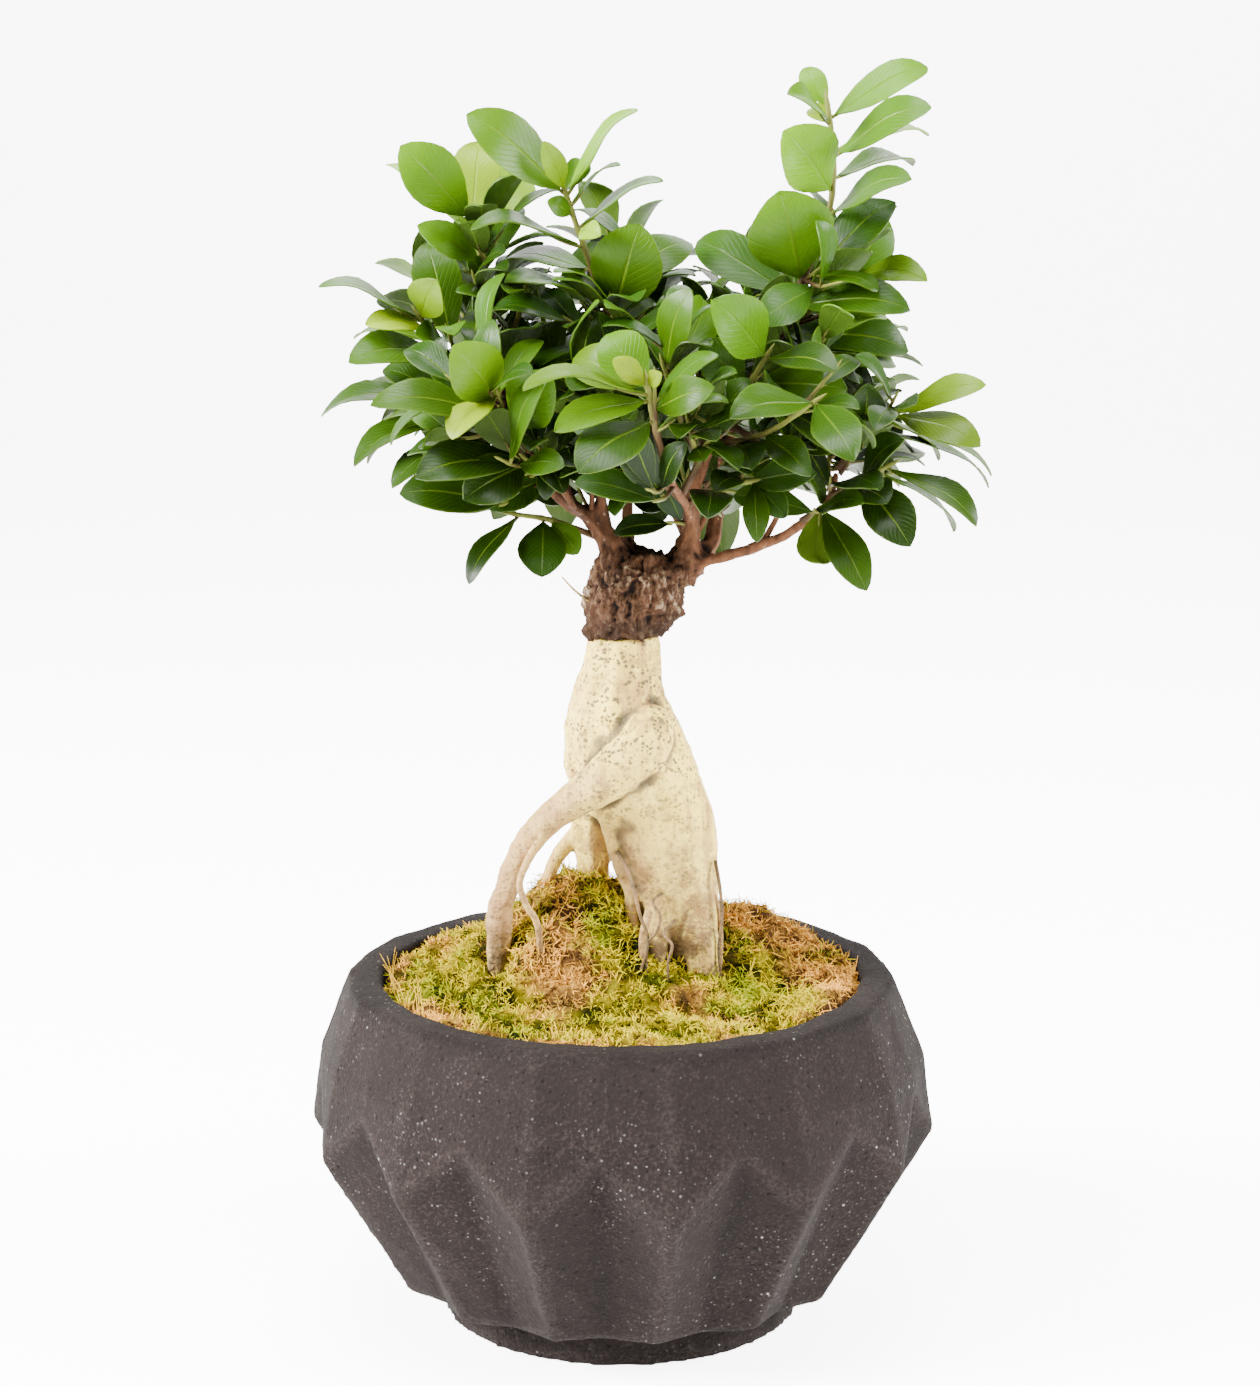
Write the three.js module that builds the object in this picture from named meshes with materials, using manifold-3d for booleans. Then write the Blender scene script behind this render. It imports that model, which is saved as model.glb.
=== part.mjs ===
// Ficus ginseng bonsai in a fluted concrete bowl: soil, moss, bulging roots, grafted wood and leafy shoots.
// Millimetres, +Z up, origin at the middle of the bowl's foot, the front of the plant towards -Y.
import * as THREE from 'three';
import { mergeVertices } from 'three/addons/utils/BufferGeometryUtils.js';
import Module from 'manifold-3d';

const wasm = await Module();
wasm.setup();

// Gap kept between pieces that rest on each other.
const GAP = 0.3;

// Bowl
const POT = {
  flutes: 14,
  firstRidge: 9,          // degrees from the front, towards +X
  rimTop: 111,
  rimInner: 77,
  rimRidge: 87.5,
  rimValley: 86.5,
  shoulderHeight: 86,
  shoulderRidge: 97.5,
  shoulderValley: 96,
  bellyRidge: 101.2,
  bellyRidgeHeight: 60,
  bellyValley: 97,
  bellyValleyHeight: 80,
  hemHeight: 13,
  hemRidge: 73,
  hemValley: 67,
  footTop: 58,
  footBottom: 57.6,
  innerKnee: 62,          // height where the inner wall starts to draw in
  floorRadius: 54,
  floorHeight: 18,
};

// Soil and moss
const SOIL_TOP = 102;
const SOIL_SECTORS = 14;
const MOSS = { rings: 5, sectors: 18, crowding: 1.2, rimHeight: 108, patchFloor: 92, patchTop: 200 };

// Leaves
const BLADE = {
  thickness: 0.7,
  petiole: 1.6,
  stalkShare: 0.14,
  fullness: 0.66,         // the less, the blunter its outline
  lean: 1.12,             // above 1, the blade is widest beyond its middle
  bow: 0.11,              // rise of the blade over its length
  clear: 4,
  clearOfOwn: 3,
};
const LONG_BLADE = 38;
const LONG_STATIONS = [0.22, 0.45, 0.7, 0.9];
const PLAIN_STATIONS = [0.28, 0.6, 0.87];
const INNER_STATIONS = [0.36, 0.8];

// Leafy stems
const STEM = { baseRadius: 1.9, tipRadius: 1.1, lastShare: 0.99 };

// Limbs get more sides where they are thick.
const LIMB_SIDES = [
  { above: 9, sides: 9 },
  { above: 4, sides: 6 },
  { above: 2, sides: 5 },
  { above: 0, sides: 4 },
];

// Rootstock: each run lists x, y, z and radius, from its top or root end downwards.
const NECK_HEIGHT = 221.8;
const ROOTS = [
  [[1.2, 0, NECK_HEIGHT, 11.5], [1.2, 0, 214, 12.6], [-1.1, 0, 200, 15.9], [0.8, 0, 187, 19.4],
    [6, 0, 174, 20.5], [12.4, 0, 163, 17.4], [15, 0, 151, 16.9], [18.5, 0, 135, 13.6], [19.5, 1, 120, 10.5],
    [20, 2, 97, 8]],
  [[20, -3, 146, 10], [24, -6, 134, 7.4], [26, -9, 121, 6], [26.5, -10, 110, 5.4], [27, -10, 97, 5]],
  [[14, -5, 144, 8], [12, -9, 131, 4.6], [11, -11, 119, 3.6], [10, -12, 104, 3]],
  [[-2, 0, 200, 13], [-7, 0, 188, 12.4], [-9, 0, 178, 9.5], [-10, 1, 169, 5]],
  [[10, 2, 195, 6], [9, -9, 191, 8.6], [1, -14, 182, 7.5], [-8, -16, 175, 6], [-19, -16, 168, 4.8],
    [-28, -16, 160, 4.3], [-34, -15, 149, 4], [-38, -14, 137, 4.2], [-39, -12, 122, 4.2],
    [-39, -11, 112, 3.8], [-38, -10, 97, 3]],
  [[-24, -15, 163, 1.5], [-30, -12, 152, 1.2], [-32, -10, 143, 1.1], [-30, -9, 135, 1.1],
    [-26, -8, 127, 1.1], [-24, -7, 104, 1]],
  [[-5, -8, 172, 3.4], [-4, -9, 160, 2.8], [-1, -10, 149, 2.5], [3, -9, 139, 2.2], [5, -8, 120, 2]],
  [[-9, 3, 176, 7], [-10, 6, 160, 6.6], [-9, 8, 146, 5.8], [-8, 10, 128, 5], [-8, 11, 98, 4]],
  [[12, 6, 160, 12], [9, 9, 140, 8], [8, 12, 122, 6.5], [8, 13, 97, 5]],
  [[27, -4, 140, 2.4], [30, -6, 130, 1.5], [31, -7, 106, 1.1]],
];

// Grafted wood: a craggy stump and its limbs, from the graft outwards.
const GRAFT_HEIGHT = NECK_HEIGHT + GAP;
const WOOD = [
  [[1.2, 0, GRAFT_HEIGHT, 12.4], [1.2, 0, 228, 14.4], [6, 0, 236, 15.4], [7, 0, 243, 14.5],
    [8, 0, 248, 10]],
  [[-2, -2, 240, 8], [-3, -3, 252, 6], [-10, -3, 259, 4.8], [-18, -3, 265, 4], [-31, -1, 276, 2.9],
    [-40, 3, 288, 2.4], [-47, 6, 301, 2]],
  [[-31, 0, 276, 2.6], [-36, 6, 291, 2.4], [-40, 9, 308, 2.2], [-41, 8, 325, 2]],
  [[0, 0, 244, 5], [-4, -2, 257, 3.2], [-7, -3, 270, 2.8], [-8, -4, 286, 2.6], [-4, -5, 303, 2.4],
    [-1, -6, 316, 2.2]],
  [[2, 3, 244, 4.5], [2, 5, 262, 3], [1, 10, 276, 2.7], [2, 17, 288, 2.5], [4, 22, 298, 2.2]],
  [[18, -1, 238, 7], [22, -1, 254, 5.5], [22, -2, 267, 4.8], [26, -3, 279, 4.2], [34, -3, 293, 3.3],
    [46, 0, 309, 2.6]],
  [[20, 0, 240, 6], [27, -2, 245, 3.6], [39, -5, 249, 3.2], [51, -8, 254, 2.9], [64, -11, 264, 2.4],
    [67, -10, 275, 2]],
  [[22, 3, 242, 7], [29, 8, 250, 5], [31, 15, 262, 4.2], [33, 22, 275, 3.4], [37, 27, 288, 2.6]],
  [[22, -3, 258, 3.2], [20, -12, 265, 2.8], [17, -25, 271, 2.4], [14, -38, 278, 1.9]],
  [[-6, -3, 256, 3], [-14, -9, 263, 2.4], [-19, -14, 271, 2], [-28, -18, 282, 1.7]],
  [[31, 14, 261, 3], [42, 20, 263, 2.4], [55, 26, 267, 1.9]],
  [[0, 8, 266, 2.6], [-10, 17, 270, 2.2], [-21, 25, 276, 1.8]],
];

// Which way a blade's upper face looks.
const FACING = {
  front: [0, -1, 0.35],
  up: [0, -0.25, 1],
  upFront: [0, -1, 1],
  away: [0, 1, 0.4],
  leftFront: [-0.7, -1, 0.2],
  rightFront: [0.7, -1, 0.2],
  leftUp: [-0.7, -0.3, 1],
};
const { front: F, up: U, upFront: UF, away: AW, leftFront: LF, rightFront: RF, leftUp: LU } = FACING;

// Shoots that the front shows. A leaf is its share along the stem, its tip's x, y, z, its width and its facing.
const SHOWN_SHOOTS = [
  { name: 'shoot_upper_left', stem: [[-1, -6, 316], [-7, -8, 332], [-12, -10, 346], [-17, -12, 361]],
    leaves: [
    [0.97, -46, -22, 384, 17, RF], [0.97, 5, -8, 385, 12, LU], [1, -23, -23, 376, 7, F],
    [1, -11, -2, 369, 7, F], [0.9, 0, -21, 369, 9, U], [0.75, 13, -17, 364, 13, U],
    [0.83, -22, -17, 358, 6, F], [0.72, -6, -23, 348, 7, F], [0.62, -45, -26, 350, 14, U],
    [0.45, -37, 9, 337, 16, U], [0.14, -35, -25, 334, 15, U], [0.1, 6, -17, 351, 22, F],
    [0.3, 22, 11, 343, 15, UF], [0.08, 11, 15, 326, 13, U]] },
  { name: 'shoot_left_crown', stem: [[-41, 8, 325], [-43, 6, 338], [-46, 4, 351]], leaves: [
    [1, -67, -7, 374, 18, F], [0.97, -44, 17, 374, 15, F], [0.95, -31, 24, 365, 20, F],
    [0.5, -62, -9, 350, 10, F], [0.5, -51, 12, 350, 9, F], [0.35, -39, 17, 352, 12, F],
    [0.3, -47, 4, 340, 5, F], [0.8, -73, 20, 367, 10, U], [0.12, -9, -6, 327, 16, UF]] },
  { name: 'shoot_far_left', stem: [[-47, 6, 301], [-56, 3, 312], [-62, 0, 321]], leaves: [
    [1, -92, -13, 332, 13, U], [1, -56, -14, 334, 13, F], [0.75, -48, 14, 331, 10, AW],
    [0.85, -78, -12, 320, 9, UF], [0.6, -84, 17, 313, 8, U], [0.45, -83, -16, 309, 14, UF],
    [0.3, -63, -10, 317, 13, UF], [0.25, -75, 21, 306, 11, U]] },
  { name: 'shoot_left_front', stem: [[-28, -18, 282], [-35, -30, 294], [-37, -36, 302]], leaves: [
    [0.75, -49, -52, 318, 18, F], [0.97, -50, -51, 290, 12, LF], [1, -24, -18, 316, 9, U],
    [0.6, -74, -49, 300, 13, UF], [0.35, -73, -12, 291, 12, U], [0.3, -21, -46, 309, 18, F]] },
  { name: 'shoot_left_low', stem: [[-31, -2, 276], [-43, -2, 289], [-54, 0, 298]], leaves: [
    [1, -93, -18, 291, 15, U], [0.7, -82, -16, 277, 14, U], [0.4, -70, -21, 271, 13, U],
    [0.55, -62, 10, 279, 9, U]] },
  { name: 'shoot_left_under', stem: [[-19, -5, 269], [-25, -20, 276], [-29, -28, 281]], leaves: [
    [1, -61, -49, 278, 16, UF], [0.85, -47, -49, 271, 16, F], [0.7, -64, -4, 266, 13, AW],
    [0.5, -48, -4, 261, 12, AW], [0.6, -55, -22, 264, 8, U], [0.3, -41, -29, 266, 12, F],
    [0.15, -34, -24, 266, 14, F]] },
  { name: 'shoot_low_twig', stem: [[-7, 2, 252], [-14, -6, 256], [-23, -12, 260], [-32, -16, 262]],
    leaves: [
    [1, -46, -37, 244, 12, U], [0.7, -24, -31, 245, 15, F], [0.62, -13, -2, 250, 9, F],
    [0.5, -24, -20, 265, 9, UF]] },
  { name: 'shoot_front_centre', stem: [[14, -38, 278], [11, -50, 291], [9, -56, 301], [8, -58, 307]],
    leaves: [
    [0.85, -28, -78, 308, 12, U], [0.75, -19, -73, 295, 11, UF], [0.6, 27, -74, 308, 11, F],
    [1, -2, -63, 315, 7, F], [1, 12, -65, 311, 5, F], [0.95, -14, -41, 313, 13, F],
    [0.9, -4, -38, 321, 15, F], [0.5, -12, -80, 284, 17, UF], [0.4, 31, -69, 303, 10, U]] },
  { name: 'shoot_front_low', stem: [[18.5, -18, 268], [24, -25, 280], [22, -38, 287]], leaves: [
    [1, 11, -59, 268, 17, F], [0.9, 25, -40, 282, 8, F]] },
  { name: 'shoot_front_crown', stem: [[25, -4, 279], [21, -13, 285], [17, -28, 297], [13, -36, 310]], leaves: [
    [1, 21, -49, 334, 13, LF], [0.9, 25, -11, 328, 14, RF], [0.65, 19, -55, 299, 15, F]] },
  { name: 'shoot_upper_right',
    stem: [[46, 0, 309], [52, -2, 324], [59, -4, 340], [64, -5, 355], [65, -5, 371], [63, -4, 386]],
    leaves: [
    [0.93, 50, -21, 390, 11, UF], [1, 56, 3, 397, 8, F], [0.95, 94, 4, 397, 12, UF],
    [0.8, 93, -23, 386, 15, UF], [0.82, 96, 19, 376, 10, U], [0.93, 59, 5, 385, 7, F],
    [0.66, 49, -20, 379, 21, F], [0.72, 91, 15, 367, 12, U], [0.58, 87, -28, 365, 14, UF],
    [0.5, 86, 17, 354, 10, U], [0.3, 48, -17, 361, 27, F], [0.25, 24, 13, 343, 15, F],
    [0.22, 88, -18, 325, 14, UF], [0.1, 89, -19, 311, 17, UF], [0.04, 79, 10, 306, 15, U],
    [0.14, 47, 17, 326, 13, F]] },
  { name: 'shoot_right_side', stem: [[39, -2, 300], [48, 11, 310], [62, 13, 325], [72, 12, 334]], leaves: [
    [1, 94, -7, 333, 11, UF], [0.95, 68, 24, 342, 9, F], [0.75, 63, 24, 336, 8, U]] },
  { name: 'shoot_right_inner', stem: [[34, -4, 292], [36, -13, 295], [39, -24, 303], [44, -28, 312]], leaves: [
    [1, 27, -48, 331, 18, F], [0.6, 24, -46, 317, 15, F], [0.4, 29, -38, 302, 12, UF],
    [1, 64, -50, 310, 12, UF], [0.7, 68, -52, 303, 14, F]] },
  { name: 'shoot_right_front', stem: [[29, -4, 283], [34, -14, 284], [46, -36, 291], [58, -48, 301]], leaves: [
    [1, 32, -64, 298, 13, UF], [1, 68, -74, 287, 14, F], [0.9, 71, -30, 299, 11, U],
    [0.6, 56, -58, 280, 10, F], [0.4, 39, -51, 280, 15, F], [0.25, 28, -39, 281, 9, F]] },
  { name: 'shoot_right_mid', stem: [[67, -10, 275], [75, -12, 286], [84, -12, 293]], leaves: [
    [0.5, 75, -22, 303, 12, F], [0.9, 89, -30, 298, 11, UF], [1, 111, -23, 303, 10, UF],
    [1, 109, -30, 285, 12, UF], [0.9, 99, -3, 277, 9, U], [0.7, 115, 0, 268, 7, U],
    [0.85, 115, -8, 273, 7, U]] },
  { name: 'shoot_right_low', stem: [[65, -12, 267], [74, -16, 273], [82, -16, 277]], leaves: [
    [1, 108, -33, 261, 12, U], [0.85, 104, -5, 255, 11, U], [0.5, 88, -34, 255, 15, F],
    [0.45, 86, -29, 287, 12, UF], [0.3, 81, -32, 268, 14, UF]] },
  { name: 'shoot_right_hang', stem: [[56, -10, 259], [62, -14, 264]], leaves: [
    [1, 75, -32, 241, 12, F], [0.9, 60, -22, 249, 12, AW]] },
  { name: 'shoot_right_drop', stem: [[20.5, -10, 263.5], [26, -15, 269], [33, -20, 272], [41, -26, 274]],
    leaves: [
    [1, 41, -44, 258, 8, F], [0.95, 50, -39, 264, 9, F], [0.9, 59, -34, 278, 10, F],
    [0.45, 26, -33, 266, 13, F]] },
];

// Shoots behind the crown and, with plainer leaves, inside it. Their leaves follow the spiral rule, so each has
// only its stem, leaf count and leaf length.
const SPIRAL_SHOOTS = [
  { name: 'shoot_back_left', stem: [[-21, 25, 276], [-34, 38, 290], [-45, 48, 305]], count: 9, length: 34 },
  { name: 'shoot_back_centre', stem: [[4, 22, 298], [2, 32, 318], [-2, 38, 340]], count: 10, length: 35 },
  { name: 'shoot_back_right', stem: [[33, 22, 278], [37, 38, 300], [44, 47, 322]], count: 10, length: 35 },
  { name: 'shoot_back_low_right', stem: [[55, 26, 267], [68, 38, 276], [78, 46, 288]], count: 8, length: 33 },
  { name: 'shoot_back_low_left', stem: [[-10, 17, 270], [-18, 36, 268], [-24, 54, 276]], count: 8, length: 32 },
  { name: 'shoot_back_low', stem: [[33, 22, 275], [28, 40, 272], [24, 56, 280]], count: 8, length: 33 },
  { name: 'shoot_inner_left', stem: [[-8, -4, 286], [-18, 4, 299], [-24, 10, 314]],
    count: 8, length: 30, inner: true },
  { name: 'shoot_inner_right', stem: [[26, -3, 279], [24, 6, 298], [26, 10, 318]],
    count: 8, length: 31, inner: true },
  { name: 'shoot_inner_front', stem: [[20, -12, 265], [9, -16, 276], [1, -17, 287]],
    count: 6, length: 27, inner: true },
  { name: 'shoot_inner_low_left', stem: [[-18, -3, 265], [-20, 4, 279], [-23, 3, 292]],
    count: 6, length: 27, inner: true },
  { name: 'shoot_inner_mid', stem: [[-7, -3, 270], [-4, -15, 286], [-3, -20, 301]],
    count: 6, length: 28, inner: true },
  { name: 'shoot_inner_low_right', stem: [[32, -3, 290], [44, -12, 283], [53, -17, 282]],
    count: 6, length: 27, inner: true },
  { name: 'shoot_inner_high_right', stem: [[39, -2, 300], [55, -10, 309], [64, -14, 318]],
    count: 6, length: 28, inner: true },
  { name: 'shoot_inner_crown', stem: [[-4, -5, 303], [5, 3, 317], [9, 6, 333]],
    count: 6, length: 27, inner: true },
  { name: 'shoot_inner_high_left', stem: [[-41, 9, 308], [-33, 2, 318], [-29, -2, 331]],
    count: 6, length: 27, inner: true },
  { name: 'shoot_back_side_left', stem: [[-40, 9, 308], [-50, 22, 316], [-58, 32, 326]], count: 7, length: 31 },
  { name: 'shoot_back_side_right', stem: [[37, 27, 288], [56, 26, 297], [72, 32, 310]], count: 8, length: 32 },
];
const SPIRAL = {
  turn: 137.5,            // degrees from one leaf to the next
  turnPlay: 20,
  baseSpread: 78,         // degrees between the stem and its lowest leaf
  tipSpread: 32,
  spreadPlay: 14,
  firstShare: 0.3,
  tipLength: 0.72,
  lengthPlay: [0.88, 1.1],
  shape: 0.46,            // width of a leaf over its length
  shapePlay: [0.9, 1.1],
  droop: 0.16,
  skyward: 0.6,
};

// Deterministic random numbers between 0 and 1.
function makeRandom(seed) {
  let state = seed;
  return () => {
    state = (state * 16807) % 2147483647;
    return state / 2147483647;
  };
}

const radians = (degrees) => degrees * Math.PI / 180;
const vector = ([x, y, z]) => new THREE.Vector3(x, y, z);
const mix = (a, b, t) => a + (b - a) * t;

// Solids

function solidOf(geometry) {
  geometry.deleteAttribute('normal');
  geometry.deleteAttribute('uv');
  const merged = mergeVertices(geometry, 1e-4);
  return new wasm.Manifold(new wasm.Mesh({
    numProp: 3,
    vertProperties: new Float32Array(merged.attributes.position.array),
    triVerts: new Uint32Array(merged.index.array),
  }));
}

function geometryOf(solid) {
  const mesh = solid.getMesh();
  const geometry = new THREE.BufferGeometry();
  geometry.setAttribute('position', new THREE.BufferAttribute(new Float32Array(mesh.vertProperties), 3));
  geometry.setIndex(new THREE.BufferAttribute(new Uint32Array(mesh.triVerts), 1));
  geometry.computeVertexNormals();
  return geometry;
}

const union = (solids) => solids.reduce((whole, solid) => whole.add(solid));

// The largest body of a solid: a scrap that a cut leaves loose is dropped.
function mainBody(solid) {
  const bodies = solid.decompose();
  return bodies.reduce((best, body) => (body.volume() > best.volume() ? body : best));
}

// Round tapering limbs

function limbCurve(points) {
  return new THREE.CatmullRomCurve3(points.map(vector), false, 'centripetal');
}

function radiusAlong(points, t) {
  const place = t * (points.length - 1);
  const index = Math.min(Math.floor(place), points.length - 2);
  return mix(points[index][3], points[index + 1][3], place - index);
}

// A limb: a closed cylinder bent along the curve through its points, with the radius given at each.
function limbSolid(points, grow = 0) {
  const thickest = Math.max(...points.map((point) => point[3]));
  const { sides } = LIMB_SIDES.find(({ above }) => thickest > above);
  const steps = points.length - 1;
  const curve = limbCurve(points);
  const frames = curve.computeFrenetFrames(steps, false);
  const centres = [];
  for (let i = 0; i <= steps; i += 1) {
    centres.push(curve.getPoint(i / steps));
  }
  const geometry = new THREE.CylinderGeometry(1, 1, 1, sides, steps);
  const position = geometry.attributes.position;
  const spot = new THREE.Vector3();
  for (let i = 0; i < position.count; i += 1) {
    const step = Math.round((0.5 - position.getY(i)) * steps);
    const radius = radiusAlong(points, step / steps) + grow;
    const endGrow = grow * ((step === steps) - (step === 0));
    spot.copy(centres[step])
      .addScaledVector(frames.normals[step], position.getX(i) * radius)
      .addScaledVector(frames.binormals[step], position.getZ(i) * radius)
      .addScaledVector(frames.tangents[step], endGrow);
    position.setXYZ(i, spot.x, spot.y, spot.z);
  }
  return solidOf(geometry);
}

// Bowl: a lathed profile whose outer rows swing between ridge and valley from one segment to the next.
function potSolid() {
  const profile = [
    [0, 0, 0, 0],
    [POT.footBottom, 0, POT.footBottom, 0],
    [POT.footTop, POT.hemHeight, POT.footTop, POT.hemHeight],
    [POT.hemRidge, POT.hemHeight, POT.hemValley, POT.hemHeight],
    [POT.bellyRidge, POT.bellyRidgeHeight, POT.bellyValley, POT.bellyValleyHeight],
    [POT.shoulderRidge, POT.shoulderHeight, POT.shoulderValley, POT.shoulderHeight],
    [POT.rimRidge, POT.rimTop, POT.rimValley, POT.rimTop],
    [POT.rimInner, POT.rimTop, POT.rimInner, POT.rimTop],
    [POT.rimInner, POT.innerKnee, POT.rimInner, POT.innerKnee],
    [POT.floorRadius, POT.floorHeight, POT.floorRadius, POT.floorHeight],
    [0, POT.floorHeight, 0, POT.floorHeight],
  ];
  return turnedSolid(profile, POT.flutes * 2);
}

// Turns a profile about Z. Its rows hold radius and height on even segments, the ridges, then on odd ones.
function turnedSolid(rows, segments) {
  const outline = rows.map(([radius, height]) => new THREE.Vector2(radius, height));
  const geometry = new THREE.LatheGeometry(outline, segments);
  const position = geometry.attributes.position;
  for (let i = 0; i < position.count; i += 1) {
    const segment = Math.floor(i / rows.length) % segments;
    const [ridgeRadius, ridgeHeight, valleyRadius, valleyHeight] = rows[i % rows.length];
    const valley = segment % 2 === 1;
    const radius = valley ? valleyRadius : ridgeRadius;
    const height = valley ? valleyHeight : ridgeHeight;
    const angle = radians(POT.firstRidge) + segment * 2 * Math.PI / segments;
    position.setXYZ(i, radius * Math.sin(angle), -radius * Math.cos(angle), height);
  }
  return solidOf(geometry);
}

// Soil fills the bowl up to just under the rim.
function soilSolid() {
  const plain = (radius, height) => [radius, height, radius, height];
  return turnedSolid([
    plain(0, POT.floorHeight + GAP),
    plain(POT.floorRadius - 2 * GAP, POT.floorHeight + GAP),
    plain(POT.rimInner - 2 * GAP, POT.innerKnee),
    plain(POT.rimInner - 2 * GAP, SOIL_TOP),
    plain(0, SOIL_TOP),
  ], SOIL_SECTORS);
}

// Moss: a carpet whose height swells into mounds round the roots, with tufts as crossing waves.
const MOUNDS = [
  { x: -14, y: 5, spread: 29, height: 34 },
  { x: 30, y: 26, spread: 30, height: 17 },
  { x: 6, y: 34, spread: 30, height: 12 },
  { x: -42, y: 30, spread: 26, height: 7 },
];
const TUFT_WAVES = [
  { x: 0.4, y: 0.68, height: 0.9 },
  { x: 0.66, y: -0.26, height: 0.9 },
  { x: 0.9, y: -1.1, height: 0.9 },
];

function mossHeight(x, y) {
  let height = MOSS.rimHeight;
  for (const mound of MOUNDS) {
    const away = Math.hypot(x - mound.x, y - mound.y) / mound.spread;
    height = Math.max(height, MOSS.rimHeight + mound.height * Math.exp(-(away ** 3)));
  }
  return TUFT_WAVES.reduce((sum, wave) => sum + wave.height * Math.sin(x * wave.x + y * wave.y), height);
}

function mossSolid() {
  const radius = POT.rimInner - 4 * GAP;
  const outline = [new THREE.Vector2(0, 0), new THREE.Vector2(radius, 0)];
  for (let ring = MOSS.rings; ring >= 0; ring -= 1) {
    outline.push(new THREE.Vector2(radius * (ring / MOSS.rings) ** MOSS.crowding, 1));
  }
  const carpet = new THREE.LatheGeometry(outline, MOSS.sectors);
  const position = carpet.attributes.position;
  for (let i = 0; i < position.count; i += 1) {
    const x = position.getX(i);
    const y = position.getZ(i);
    const top = position.getY(i) > 0.5;
    position.setXYZ(i, x, -y, top ? mossHeight(x, -y) : SOIL_TOP + GAP);
  }
  return solidOf(carpet);
}

// Dry, brown moss lies in patches, each an outline on the carpet seen from above.
const DRY_PATCHES = {
  moss_dry_mound: [[-34, -22], [-14, -27], [3, -18], [6, 2], [2, 22], [-14, 30], [-32, 20], [-40, 0]],
  moss_dry_right: [[24, -12], [40, -30], [62, -46], [74, -22], [76, 4], [66, 32], [44, 42], [26, 30], [22, 8]],
};

function patchPrism(corners, grow) {
  const middle = new THREE.Vector2();
  corners.forEach(([x, y]) => middle.add(new THREE.Vector2(x / corners.length, y / corners.length)));
  const grown = corners.map(([x, y]) => {
    const corner = new THREE.Vector2(x, y).sub(middle);
    return corner.setLength(corner.length() + grow).add(middle);
  });
  const loop = new THREE.SplineCurve([...grown, grown[0]]);
  const shape = new THREE.Shape(loop.getPoints(corners.length + 2).slice(0, -1));
  const depth = MOSS.patchTop - MOSS.patchFloor;
  const geometry = new THREE.ExtrudeGeometry(shape, { depth, bevelEnabled: false, steps: 1 });
  geometry.translate(0, 0, MOSS.patchFloor);
  return solidOf(geometry);
}

// Leaves

// Half width along a blade, from the end of its leafstalk to its blunt tip.
function bladeHalf(width, t) {
  return width * 0.5 * Math.sin(Math.PI * t ** BLADE.lean) ** BLADE.fullness;
}

// The middle line of a leaf from its stem to its tip, with its side and upward directions.
function leafFrame(leaf) {
  const axis = leaf.tip.clone().sub(leaf.base);
  const up = leaf.facing.clone().addScaledVector(axis, -leaf.facing.dot(axis) / axis.lengthSq()).normalize();
  const side = axis.clone().cross(up).normalize();
  return { axis, up, side };
}

// A point on the blade. It rises most two thirds of the way out, where t * t * (1 - t) is 4 / 27.
function leafPoint(leaf, frame, t, across) {
  const bow = BLADE.bow * frame.axis.length() * (27 / 4) * t * t * (1 - t);
  return leaf.base.clone()
    .addScaledVector(frame.axis, t)
    .addScaledVector(frame.up, bow)
    .addScaledVector(frame.side, across);
}

function halfAt(leaf, t) {
  const blade = Math.max((t - BLADE.stalkShare) / (1 - BLADE.stalkShare), 0);
  return Math.max(bladeHalf(leaf.width, blade), BLADE.petiole / 2);
}

// A leaf: a three-sided stalk from inside its stem that widens to a thin bowed blade, both faces split alike.
function leafSolid(leaf) {
  const frame = leafFrame(leaf);
  const outer = frame.axis.length() > LONG_BLADE ? LONG_STATIONS : PLAIN_STATIONS;
  const stations = [0, ...(leaf.inner ? INNER_STATIONS : outer), 1];
  const corners = [];
  for (const t of stations) {
    const half = halfAt(leaf, t);
    for (const lift of [0.5, -0.5]) {
      const keel = t === 0 && lift < 0 ? 0 : 1;
      for (const across of [-half, half]) {
        const point = leafPoint(leaf, frame, t, across * keel);
        corners.push(point.addScaledVector(frame.up, lift * BLADE.thickness));
      }
    }
  }
  const faces = [];
  const ring = [0, 1, 3, 2];
  for (let i = 0; i < stations.length - 1; i += 1) {
    const near = i * 4;
    const far = near + 4;
    for (let k = 0; k < 4; k += 1) {
      const a = ring[k];
      const b = ring[(k + 1) % 4];
      const turned = k === 2;
      if (turned) {
        faces.push(near + a, near + b, far + a, near + b, far + b, far + a);
      } else {
        faces.push(near + a, near + b, far + b, near + a, far + b, far + a);
      }
    }
  }
  const end = (stations.length - 1) * 4;
  faces.push(0, 2, 3, 0, 3, 1, end, end + 1, end + 3, end, end + 3, end + 2);
  const geometry = new THREE.BufferGeometry();
  geometry.setAttribute('position', new THREE.Float32BufferAttribute(corners.flatMap((c) => c.toArray()), 3));
  geometry.setIndex(faces);
  return solidOf(geometry);
}

// Points over a blade and along a limb, for keeping leaves apart: rows of six, the first ones on the stalk.
const SAMPLE = { rows: 12, across: 6, first: 0.1, stalkRows: 2, ownRows: 6, limbStep: 3 };

function leafSamples(leaf) {
  const frame = leafFrame(leaf);
  const samples = [];
  for (let i = 0; i < SAMPLE.rows; i += 1) {
    const t = mix(SAMPLE.first, 1, i / (SAMPLE.rows - 1));
    const half = halfAt(leaf, t);
    for (let j = 0; j < SAMPLE.across; j += 1) {
      const point = leafPoint(leaf, frame, t, half * mix(-1, 1, j / (SAMPLE.across - 1)));
      samples.push([point.x, point.y, point.z, 0]);
    }
  }
  return samples;
}

// Crown layout

const FIRST_SEED = 20417;

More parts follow.
